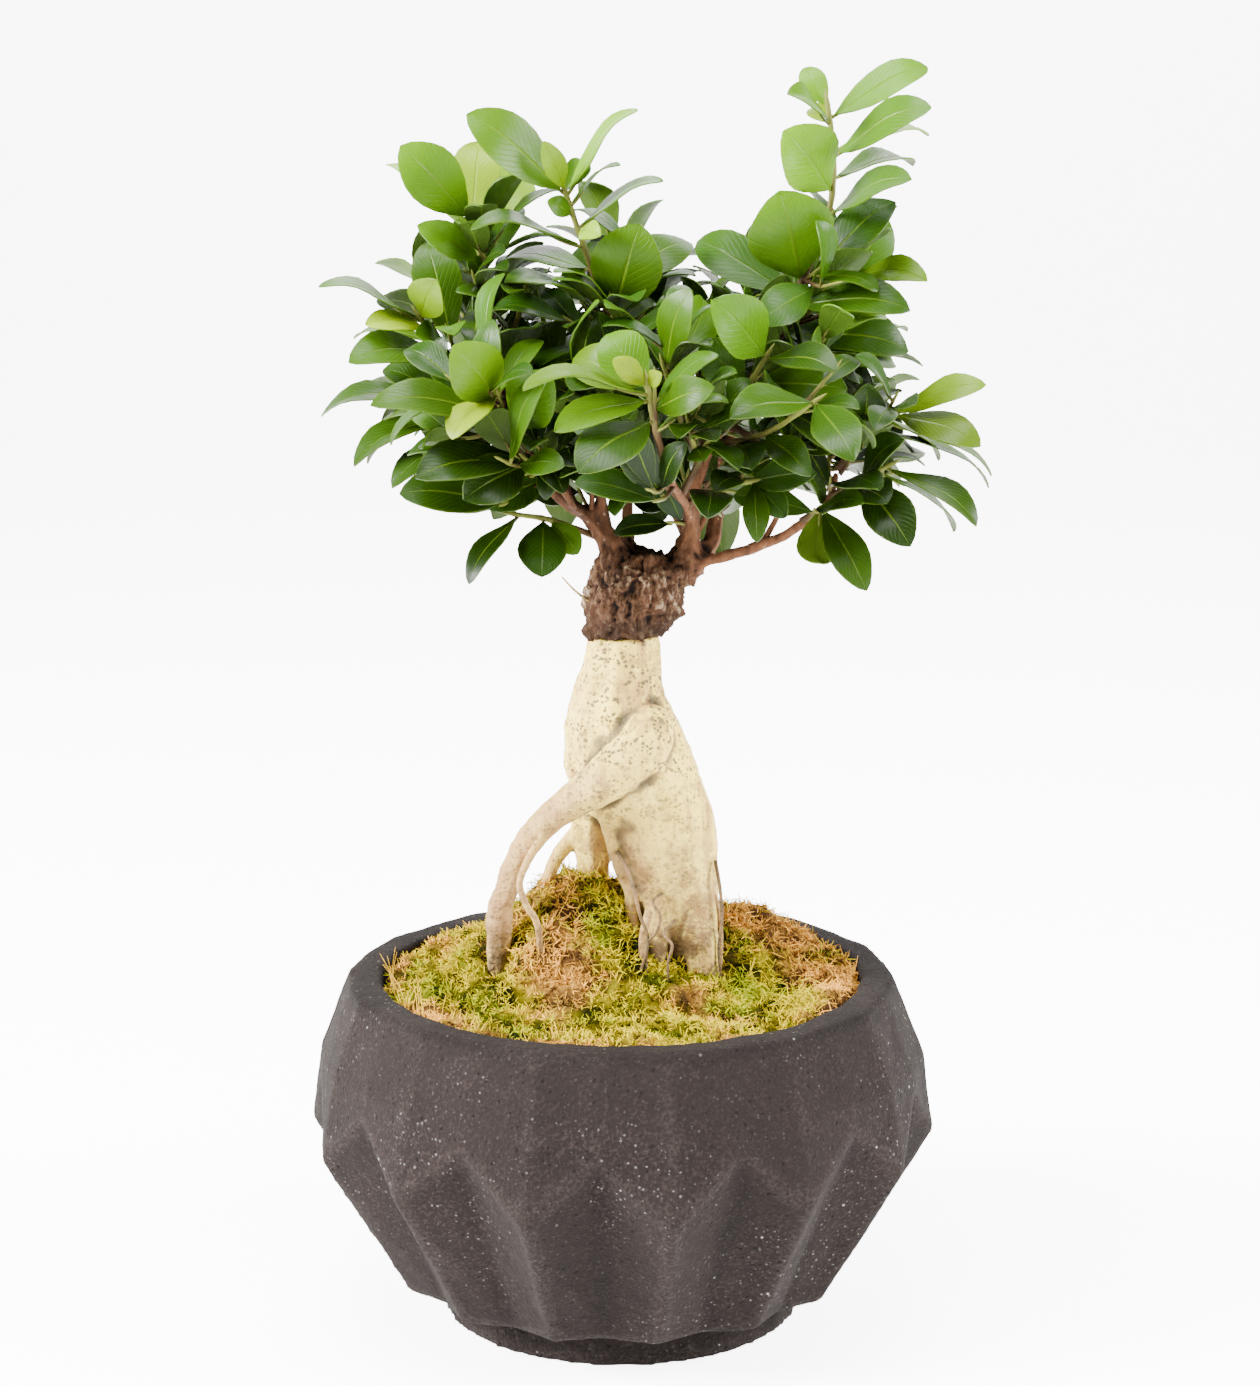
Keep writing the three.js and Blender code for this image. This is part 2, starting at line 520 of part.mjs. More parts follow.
function stemPoints(points) {
  return points.map((point, i) => [...point, mix(STEM.baseRadius, STEM.tipRadius, i / (points.length - 1))]);
}

// The leaves of a shoot that the front shows.
function shownLeaves(shoot) {
  const curve = limbCurve(shoot.stem);
  return shoot.leaves.map(([share, x, y, z, width, facing]) => ({
    base: curve.getPoint(Math.min(share, STEM.lastShare)),
    tip: new THREE.Vector3(x, y, z),
    width,
    facing: vector(facing),
    lean: new THREE.Vector3(0, 1, 0),
  }));
}

// The leaves of a spiral shoot: each turns a fixed angle from the last, and they stand up more towards the tip.
function spiralLeaves(shoot, random) {
  const curve = limbCurve(shoot.stem);
  const leaves = [];
  let turn = random() * 360;
  for (let i = 0; i < shoot.count; i += 1) {
    const along = i / (shoot.count - 1);
    const share = mix(SPIRAL.firstShare, STEM.lastShare, along);
    const base = curve.getPoint(share);
    const stemWay = curve.getTangent(share);
    const acrossWay = new THREE.Vector3(0, 0, 1).cross(stemWay).normalize();
    const outWay = acrossWay.clone().applyAxisAngle(stemWay, radians(turn));
    const play = (random() - 0.5) * SPIRAL.spreadPlay;
    const spread = radians(mix(SPIRAL.baseSpread, SPIRAL.tipSpread, along) + play);
    const length = shoot.length * mix(1, SPIRAL.tipLength, along) * mix(...SPIRAL.lengthPlay, random());
    const way = stemWay.clone().multiplyScalar(Math.cos(spread)).addScaledVector(outWay, Math.sin(spread));
    way.z -= SPIRAL.droop * (1 - along);
    leaves.push({
      base,
      tip: base.clone().addScaledVector(way.normalize(), length),
      width: length * SPIRAL.shape * mix(...SPIRAL.shapePlay, random()),
      facing: stemWay.clone().add(new THREE.Vector3(0, 0, SPIRAL.skyward)),
      lean: stemWay.clone(),
      inner: shoot.inner,
    });
    turn += SPIRAL.turn + (random() - 0.5) * SPIRAL.turnPlay;
  }
  return leaves;
}

// Smallest gap between two sets of points with a radius each.
function gapBetween(samples, others) {
  let least = Infinity;
  for (const a of samples) {
    for (const b of others) {
      const gap = Math.hypot(a[0] - b[0], a[1] - b[1], a[2] - b[2]) - b[3];
      least = Math.min(least, gap);
    }
  }
  return least;
}

// Only what lies within REACH of a leaf's middle can touch it. LEANS are the moves tried for its tip, in order.
const REACH = 52;
const LEANS = [0, -4, 4, -8, 8, -12, 12, -16, 16, -20, 20];

// Leans a leaf's tip aside until it is clear of the wood, of other shoots and, in its outer part, of its own.
// The best place is kept where only its own shoot is in the way; null if other shoots always are.
function clearedLeaf(leaf, limbs, others, own) {
  const middle = leaf.base.clone().lerp(leaf.tip, 0.5);
  const close = (b) => Math.hypot(middle.x - b[0], middle.y - b[1], middle.z - b[2]) < REACH;
  const nearLimbs = limbs.filter(close);
  const nearLeaves = others.filter(close);
  let best = null;
  for (const step of LEANS) {
    const leaned = { ...leaf, tip: leaf.tip.clone().addScaledVector(leaf.lean, step) };
    const samples = leafSamples(leaned);
    const blade = samples.slice(SAMPLE.across * SAMPLE.stalkRows);
    if (Math.min(gapBetween(blade, nearLimbs), gapBetween(samples, nearLeaves)) > BLADE.clear) {
      const outer = samples.slice(-SAMPLE.across * SAMPLE.ownRows);
      const ownGap = gapBetween(outer, own);
      if (best === null || ownGap > best.ownGap) {
        best = { leaf: leaned, samples, outer, ownGap };
      }
      if (ownGap > BLADE.clearOfOwn) {
        return best;
      }
    }
  }
  return best;
}

function limbSamples(points) {
  const curve = limbCurve(points);
  const count = Math.ceil(curve.getLength() / SAMPLE.limbStep);
  const samples = [];
  for (let i = 0; i <= count; i += 1) {
    const point = curve.getPoint(i / count);
    samples.push([point.x, point.y, point.z, radiusAlong(points, i / count)]);
  }
  return samples;
}

// Every shoot with its stem and the leaves that found room.
function layOutCrown() {
  const random = makeRandom(FIRST_SEED);
  const shoots = [
    ...SHOWN_SHOOTS.map((shoot) => ({ ...shoot, wanted: shownLeaves(shoot) })),
    ...SPIRAL_SHOOTS.map((shoot) => ({ ...shoot, wanted: spiralLeaves(shoot, random) })),
  ];
  const wood = WOOD.flatMap(limbSamples);
  for (const shoot of shoots) {
    shoot.points = stemPoints(shoot.stem);
    shoot.stemSamples = limbSamples(shoot.points);
    shoot.leafSamples = [];
    shoot.placed = [];
  }
  for (const shoot of shoots) {
    const rest = shoots.filter((other) => other !== shoot);
    const limbs = [...wood, ...rest.flatMap((other) => other.stemSamples)];
    const others = rest.flatMap((other) => other.leafSamples);
    const own = [];
    for (const leaf of shoot.wanted) {
      const cleared = clearedLeaf(leaf, limbs, others, own);
      if (cleared) {
        shoot.placed.push(cleared.leaf);
        shoot.leafSamples.push(...cleared.samples);
        own.push(...cleared.outer);
      }
    }
  }
  return shoots;
}

// Assembly

const FINISH = {
  pot: { color: 0x4a4341, roughness: 0.95 },
  soil: { color: 0x3a2c22, roughness: 1 },
  moss: { color: 0x8f9a2c, roughness: 1 },
  mossDry: { color: 0xa87a45, roughness: 1 },
  root: { color: 0xd6c8a8, roughness: 0.8 },
  bark: { color: 0x5c4034, roughness: 0.9 },
  leaf: { color: 0x2f7a2b, roughness: 0.35 },
};

const bonsai = new THREE.Group();

function addPiece(name, solid, finish) {
  const mesh = new THREE.Mesh(geometryOf(solid), new THREE.MeshStandardMaterial({ ...finish, metalness: 0 }));
  mesh.name = name;
  bonsai.add(mesh);
}

const rootRuns = (grow) => union(ROOTS.map((run) => limbSolid(run, grow)));
const woodRuns = (grow) => union(WOOD.map((run) => limbSolid(run, grow)));

addPiece('pot', potSolid(), FINISH.pot);

const rootHoles = rootRuns(GAP);
addPiece('soil', mainBody(soilSolid().subtract(rootHoles)), FINISH.soil);

let carpet = mossSolid().subtract(rootHoles);
for (const [name, corners] of Object.entries(DRY_PATCHES)) {
  addPiece(name, mainBody(carpet.intersect(patchPrism(corners, 0))), FINISH.mossDry);
  carpet = carpet.subtract(patchPrism(corners, GAP));
}
addPiece('moss_green', mainBody(carpet), FINISH.moss);

addPiece('rootstock', rootRuns(0), FINISH.root);
addPiece('scion_wood', woodRuns(0), FINISH.bark);

const woodRoom = woodRuns(GAP);
for (const shoot of layOutCrown()) {
  const stem = limbSolid(shoot.points);
  const leafy = union([stem, ...shoot.placed.map(leafSolid)]);
  addPiece(shoot.name, mainBody(leafy.subtract(woodRoom)), FINISH.leaf);
}

export default bonsai;
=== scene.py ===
"""Ginseng fig bonsai in a fluted concrete bowl.

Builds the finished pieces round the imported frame: bowl, soil, moss, swollen roots, grafted wood and leafy
shoots, then a plain studio floor with its lights and camera. Tables are in millimetres, the scene in metres.
"""

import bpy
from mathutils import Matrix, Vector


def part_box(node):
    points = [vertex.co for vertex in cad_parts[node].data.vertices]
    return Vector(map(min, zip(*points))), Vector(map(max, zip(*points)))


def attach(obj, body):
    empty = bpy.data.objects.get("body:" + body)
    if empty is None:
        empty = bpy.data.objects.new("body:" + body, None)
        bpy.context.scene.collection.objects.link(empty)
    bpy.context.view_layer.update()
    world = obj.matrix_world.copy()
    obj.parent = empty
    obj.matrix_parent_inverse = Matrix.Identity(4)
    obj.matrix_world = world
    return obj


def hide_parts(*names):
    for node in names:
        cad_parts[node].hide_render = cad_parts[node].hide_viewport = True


bl_info = {
    "name": "Ginseng Fig Bonsai",
    "version": (1, 0, 0),
    "blender": (4, 5, 0),
    "location": "View3D > Sidebar > Bonsai",
    "description": "Builds a potted ginseng fig: bowl, moss, swollen roots, grafted wood and leafy shoots",
    "category": "Add Mesh",
}

import math
import random

import bmesh
import bpy
import numpy as np
from bpy.props import FloatProperty, FloatVectorProperty, IntProperty, PointerProperty
from bpy.types import Operator, Panel, PropertyGroup
from mathutils import Matrix, Vector, kdtree, noise
from mathutils.bvhtree import BVHTree

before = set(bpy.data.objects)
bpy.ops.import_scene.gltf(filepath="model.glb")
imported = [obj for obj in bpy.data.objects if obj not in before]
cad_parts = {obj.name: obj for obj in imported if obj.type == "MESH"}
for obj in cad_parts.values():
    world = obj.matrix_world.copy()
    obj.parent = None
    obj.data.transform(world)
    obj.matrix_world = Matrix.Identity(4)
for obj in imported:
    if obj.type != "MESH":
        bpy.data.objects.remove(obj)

MM = 0.001
ROOT_BODY = "root"
RIM_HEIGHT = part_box("pot")[1][2]
WOOD_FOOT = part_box("scion_wood")[0][2]


# Settings

def size(name, description, default):
    """A length property in metres."""
    return FloatProperty(
        name=name, description=description, default=default, min=0, precision=5,
        subtype="DISTANCE", unit="LENGTH",
    )


def colour(name, description, default):
    """A linear colour property."""
    return FloatVectorProperty(
        name=name, description=description, default=default, size=3, min=0, max=1, subtype="COLOR"
    )


class BowlSettings(PropertyGroup):
    """Sizes and colours of the concrete bowl."""

    cell: size("Cell", "Width of the cells that the bowl's fine mesh is made of", 0.00145)
    unevenness: size("Unevenness", "How far the cast wall wanders in and out", 0.0004)
    concrete: colour("Concrete", "Dark grey-brown of the cast concrete", (0.0092, 0.0066, 0.0058))
    # Paler tone of the worn folds, where it is also a painted highlight on the ridges, and of the scuffed
    # foot
    rubbed_and_highlight: colour("Rubbed", "Paler tone where folds are rubbed", (0.04, 0.031, 0.028))
    grit: colour("Grit", "Pale grains in the surface", (0.3, 0.29, 0.27))


class RootSettings(PropertyGroup):
    """Sizes and colours of the swollen roots."""

    cell: size("Cell", "Width of the cells that the root's fine mesh is made of", 0.0009)
    swelling: size("Swelling", "Height of the soft dents and swellings", 0.0007)
    skin: colour("Skin", "Cream skin", (0.98, 0.72, 0.1))
    blush: colour("Blush", "Pink-brown tone of younger roots", (0.31, 0.17, 0.085))
    # The grey-brown also paints the shade in the root's creases
    fleck_and_crease_shade: colour("Flecks", "Grey-brown pores and scars", (0.1, 0.078, 0.04))


class WoodSettings(PropertyGroup):
    """Sizes and colours of the grafted stump and its limbs."""

    cell: size("Cell", "Width of the cells that the bark's fine mesh is made of", 0.0008)
    relief: size("Relief", "Depth of the stump's clefts", 0.0026)
    bark: colour("Bark", "Brown of the stump's bark", (0.04, 0.019, 0.009))
    scale: colour("Scales", "Grey, lighter scales that stand out", (0.29, 0.215, 0.135))
    # The near black is painted shade, in the clefts and on the left limbs
    cleft_shade: colour("Clefts", "Near black of the clefts", (0.005, 0.0025, 0.002))
    limb: colour("Limbs", "Reddish brown of the smooth limbs", (0.1, 0.042, 0.019))


class FoliageSettings(PropertyGroup):
    """Sizes and colours of the leaves."""

    thickness: size("Thickness", "Thickness of a blade", 0.00042)
    extra: IntProperty(
        name="Inner twigs", description="How many leafy twigs fill the inside of the crown", default=300,
        min=0,
    )
    old: colour("Old", "Dark green of old leaves", (0.008, 0.028, 0.0008))
    grown: colour("Grown", "Green of grown leaves", (0.038, 0.098, 0.0))
    young: colour("Young", "Yellow-green of young leaves", (0.083, 0.15, 0.0))
    fresh: colour("Fresh", "Lime of the newest leaves", (0.16, 0.235, 0.0))
    vein: colour("Vein", "Pale midrib", (0.1, 0.165, 0.006))
    underside: colour("Underside", "Matt underside", (0.055, 0.09, 0.016))
    bark: colour("Bark", "Brown of a stem where it leaves its limb", (0.045, 0.024, 0.009))
    stem: colour("Stem", "Pale green-beige of soft stems", (0.11, 0.12, 0.02))


class MossSettings(PropertyGroup):
    """Sizes and colours of the moss."""

    cell: size("Cell", "Width of the cells that the moss cushion's mesh is made of", 0.0019)
    lumps: size("Lumps", "Height of the cushion's lumps", 0.0026)
    spacing: size("Spacing", "Distance from one sprig to the next", 0.00155)
    length: size("Length", "Length of a sprig's strands", 0.0034)
    # shade and lit, and rust and straw for dry moss, are shaded and lit copies of one colour: painted shade
    # and light
    shade: colour("Shade", "Deep green between the sprigs", (0.013, 0.015, 0.0))
    lit: colour("Lit", "Yellow-green of the sprigs' tips", (0.54, 0.415, 0.0))
    # The pale yellow is partly the tips' own colour and partly a painted highlight
    tip: colour("Tips", "Pale yellow of the outermost tips", (0.64, 0.5, 0.0))
    deep: colour("Deep", "What multiplies the green where the moss is lush", (0.4, 0.64, 0.6))
    rust: colour("Rust", "Red-brown of dry moss in shade", (0.065, 0.028, 0.009))
    straw: colour("Straw", "Straw colour of dry tips", (0.78, 0.38, 0.06))


class StageSettings(PropertyGroup):
    """The studio and its camera."""

    lens: FloatProperty(name="Lens", description="Focal length", default=88.86, subtype="DISTANCE_CAMERA")
    camera: FloatVectorProperty(
        name="Camera", description="Where the camera stands", default=(0.0029, -1.059, 0.4228), subtype="XYZ"
    )
    pitch: FloatProperty(
        name="Pitch", description="How far the camera looks down", default=math.radians(11.75),
        subtype="ANGLE",
    )
    floor: colour("Floor", "Pale floor and backdrop", (0.93, 0.925, 0.915))
    glow: FloatProperty(name="Glow", description="Light that the white sweep gives off", default=1.2, min=0)
    white: FloatProperty(
        name="White", description="How much whiter the camera sees the sweep", default=5.0, min=0
    )


# Shader helpers

def add(tree, kind, values=(), **settings):
    """Adds a shader node. values maps its inputs to numbers, colours or the outputs that feed them."""
    made = tree.nodes.new(kind)
    made.location.x = 180 * len(tree.nodes)
    for name, value in settings.items():
        setattr(made, name, value)
    for key, value in dict(values).items():
        if isinstance(value, bpy.types.NodeSocket):
            tree.links.new(value, made.inputs[key])
        else:
            made.inputs[key].default_value = value
    return made


def calculate(tree, operation, first, second=0.0, clamp=False):
    """The output of a Math node."""
    return add(tree, "ShaderNodeMath", {0: first, 1: second}, operation=operation, use_clamp=clamp).outputs[0]


def plus(tree, first, second, clamp=False):
    """The sum of two values."""
    return calculate(tree, "ADD", first, second, clamp)


def times(tree, first, second, clamp=False):
    """One value times another."""
    return calculate(tree, "MULTIPLY", first, second, clamp)


def axes_of(tree, vector):
    """The three parts of a vector."""
    return add(tree, "ShaderNodeSeparateXYZ", {0: vector}).outputs


def spread(tree, value, low, high, to_low=0.0, to_high=1.0):
    """Maps a value from one range to another, smoothly and clamped."""
    values = {"Value": value, "From Min": low, "From Max": high, "To Min": to_low, "To Max": to_high}
    return add(tree, "ShaderNodeMapRange", values, interpolation_type="SMOOTHSTEP").outputs[0]


def blend(tree, factor, first, second, mode="MIX"):
    """The colour output of a Mix node."""
    pair = [value if isinstance(value, bpy.types.NodeSocket) else (*value, 1.0) for value in (first, second)]
    made = add(tree, "ShaderNodeMix", {0: factor, 6: pair[0], 7: pair[1]}, data_type="RGBA", blend_type=mode)
    return made.outputs[2]


def scaled(tree, colours, level):
    """A colour that changes over the surface, times a value that does."""
    return add(tree, "ShaderNodeVectorMath", {0: colours, 1: level}, operation="MULTIPLY").outputs[0]


def shaded(tone, share):
    """A plain colour times a share."""
    return [level * share for level in tone]


def toned(tone, shares):
    """A plain colour times one share for each of its three parts."""
    return [level * share for level, share in zip(tone, shares)]


def fractal(tree, place, scale, detail=3.0, roughness=0.55):
    """The factor output of a Noise node."""
    values = {"Vector": place, "Scale": scale, "Detail": detail, "Roughness": roughness}
    return add(tree, "ShaderNodeTexNoise", values).outputs["Fac"]


def object_place(tree, stretch=(1.0, 1.0, 1.0)):
    """Object coordinates, stretched by a Mapping node."""
    place = add(tree, "ShaderNodeTexCoord").outputs["Object"]
    return add(tree, "ShaderNodeMapping", {"Vector": place, "Scale": stretch}).outputs[0]


def bump(tree, height, distance, strength=1.0):
    """The normal output of a Bump node."""
    values = {"Height": height, "Distance": distance, "Strength": strength}
    return add(tree, "ShaderNodeBump", values).outputs[0]


def new_group(name, inputs, outputs):
    """An empty node group with float or vector inputs and float outputs, and its two end nodes."""
    group = bpy.data.node_groups.new(name, "ShaderNodeTree")
    for label, kind in inputs.items():
        group.interface.new_socket(label, in_out="INPUT", socket_type=kind)
    for label in outputs:
        group.interface.new_socket(label, in_out="OUTPUT", socket_type="NodeSocketFloat")
    return group, add(group, "NodeGroupInput").outputs, add(group, "NodeGroupOutput").inputs


def flecks_group():
    """Round flecks strewn over a surface: a mask of those cells that have one."""
    inputs = {"Vector": "NodeSocketVector"}
    inputs.update({name: "NodeSocketFloat" for name in ("Scale", "Size", "Share")})
    group, given, made = new_group("Flecks", inputs, ["Mask"])
    cells = add(group, "ShaderNodeTexVoronoi", {"Vector": given["Vector"], "Scale": given["Scale"]})
    lot = add(group, "ShaderNodeSeparateColor", {0: cells.outputs["Color"]}).outputs
    radius = times(group, given["Size"], plus(group, lot[1], 0.35))
    inside = calculate(group, "SUBTRACT", radius, cells.outputs["Distance"])
    soft = calculate(group, "DIVIDE", inside, radius, clamp=True)
    chosen = calculate(group, "LESS_THAN", lot[0], given["Share"])
    group.links.new(times(group, soft, chosen), made["Mask"])
    return group


def clouding_group():
    """Soft clouding over a surface, from 0 to 1 about a middle of one half."""
    inputs = {"Vector": "NodeSocketVector", "Scale": "NodeSocketFloat", "Contrast": "NodeSocketFloat"}
    group, given, made = new_group("Clouding", inputs, ["Value"])
    level = fractal(group, given["Vector"], given["Scale"], 4.0, 0.6)
    apart = calculate(group, "SUBTRACT", level, 0.5)
    wider = times(group, apart, given["Contrast"])
    group.links.new(plus(group, wider, 0.5, clamp=True), made["Value"])
    return group


MIDRIB_WIDTHS = (0.045, 0.008)
SIDE_VEINS = 13.0
VEIN_SLANT = -9.0


def veins_group():
    """Midrib and side veins of a blade, from its own UV map, with across in U and along in V."""
    outputs = ["Midrib", "Side veins", "Margin"]
    group, given, made = new_group("Leaf veins", {"UV": "NodeSocketVector"}, outputs)
    across, along, _ = axes_of(group, given["UV"])
    away = calculate(group, "ABSOLUTE", calculate(group, "SUBTRACT", across, 0.5))
    width = spread(group, along, 0.0, 1.0, *MIDRIB_WIDTHS)
    midrib = calculate(group, "SUBTRACT", 1.0, calculate(group, "DIVIDE", away, width), clamp=True)
    group.links.new(midrib, made["Midrib"])
    group.links.new(spread(group, away, 0.43, 0.5), made["Margin"])
    slant = plus(group, times(group, along, SIDE_VEINS), times(group, away, VEIN_SLANT))
    wave = calculate(group, "SINE", times(group, slant, math.tau))
    group.links.new(spread(group, wave, 0.72, 1.0), made["Side veins"])
    return group


GROUPS = {}


def grouped(tree, name, values):
    """Places one of the shared groups in a material, with its inputs set, and returns its outputs."""
    if name not in GROUPS:
        makers = {"flecks": flecks_group, "clouding": clouding_group, "veins": veins_group}
        GROUPS[name] = makers[name]()
    return add(tree, "ShaderNodeGroup", values, node_tree=GROUPS[name]).outputs


def flecked(tree, place, scale, width, share):
    """A mask of flecks: how many stand on a metre, how wide each is, and what share of the spots has one."""
    return grouped(tree, "flecks", {"Vector": place, "Scale": scale, "Size": width, "Share": share})[0]


def clouded(tree, place, scale, contrast):
    """Soft clouding from 0 to 1, with how many clouds stand on a metre and how hard they are."""
    return grouped(tree, "clouding", {"Vector": place, "Scale": scale, "Contrast": contrast})[0]


# Curves and leaf layout, as the frame's shoots have them, in millimetres

FRONT = (0, -1, 0.35)
UP = (0, -0.25, 1)
UP_FRONT = (0, -1, 1)
AWAY = (0, 1, 0.4)
LEFT_FRONT = (-0.7, -1, 0.2)
RIGHT_FRONT = (0.7, -1, 0.2)
LEFT_UP = (-0.7, -0.3, 1)

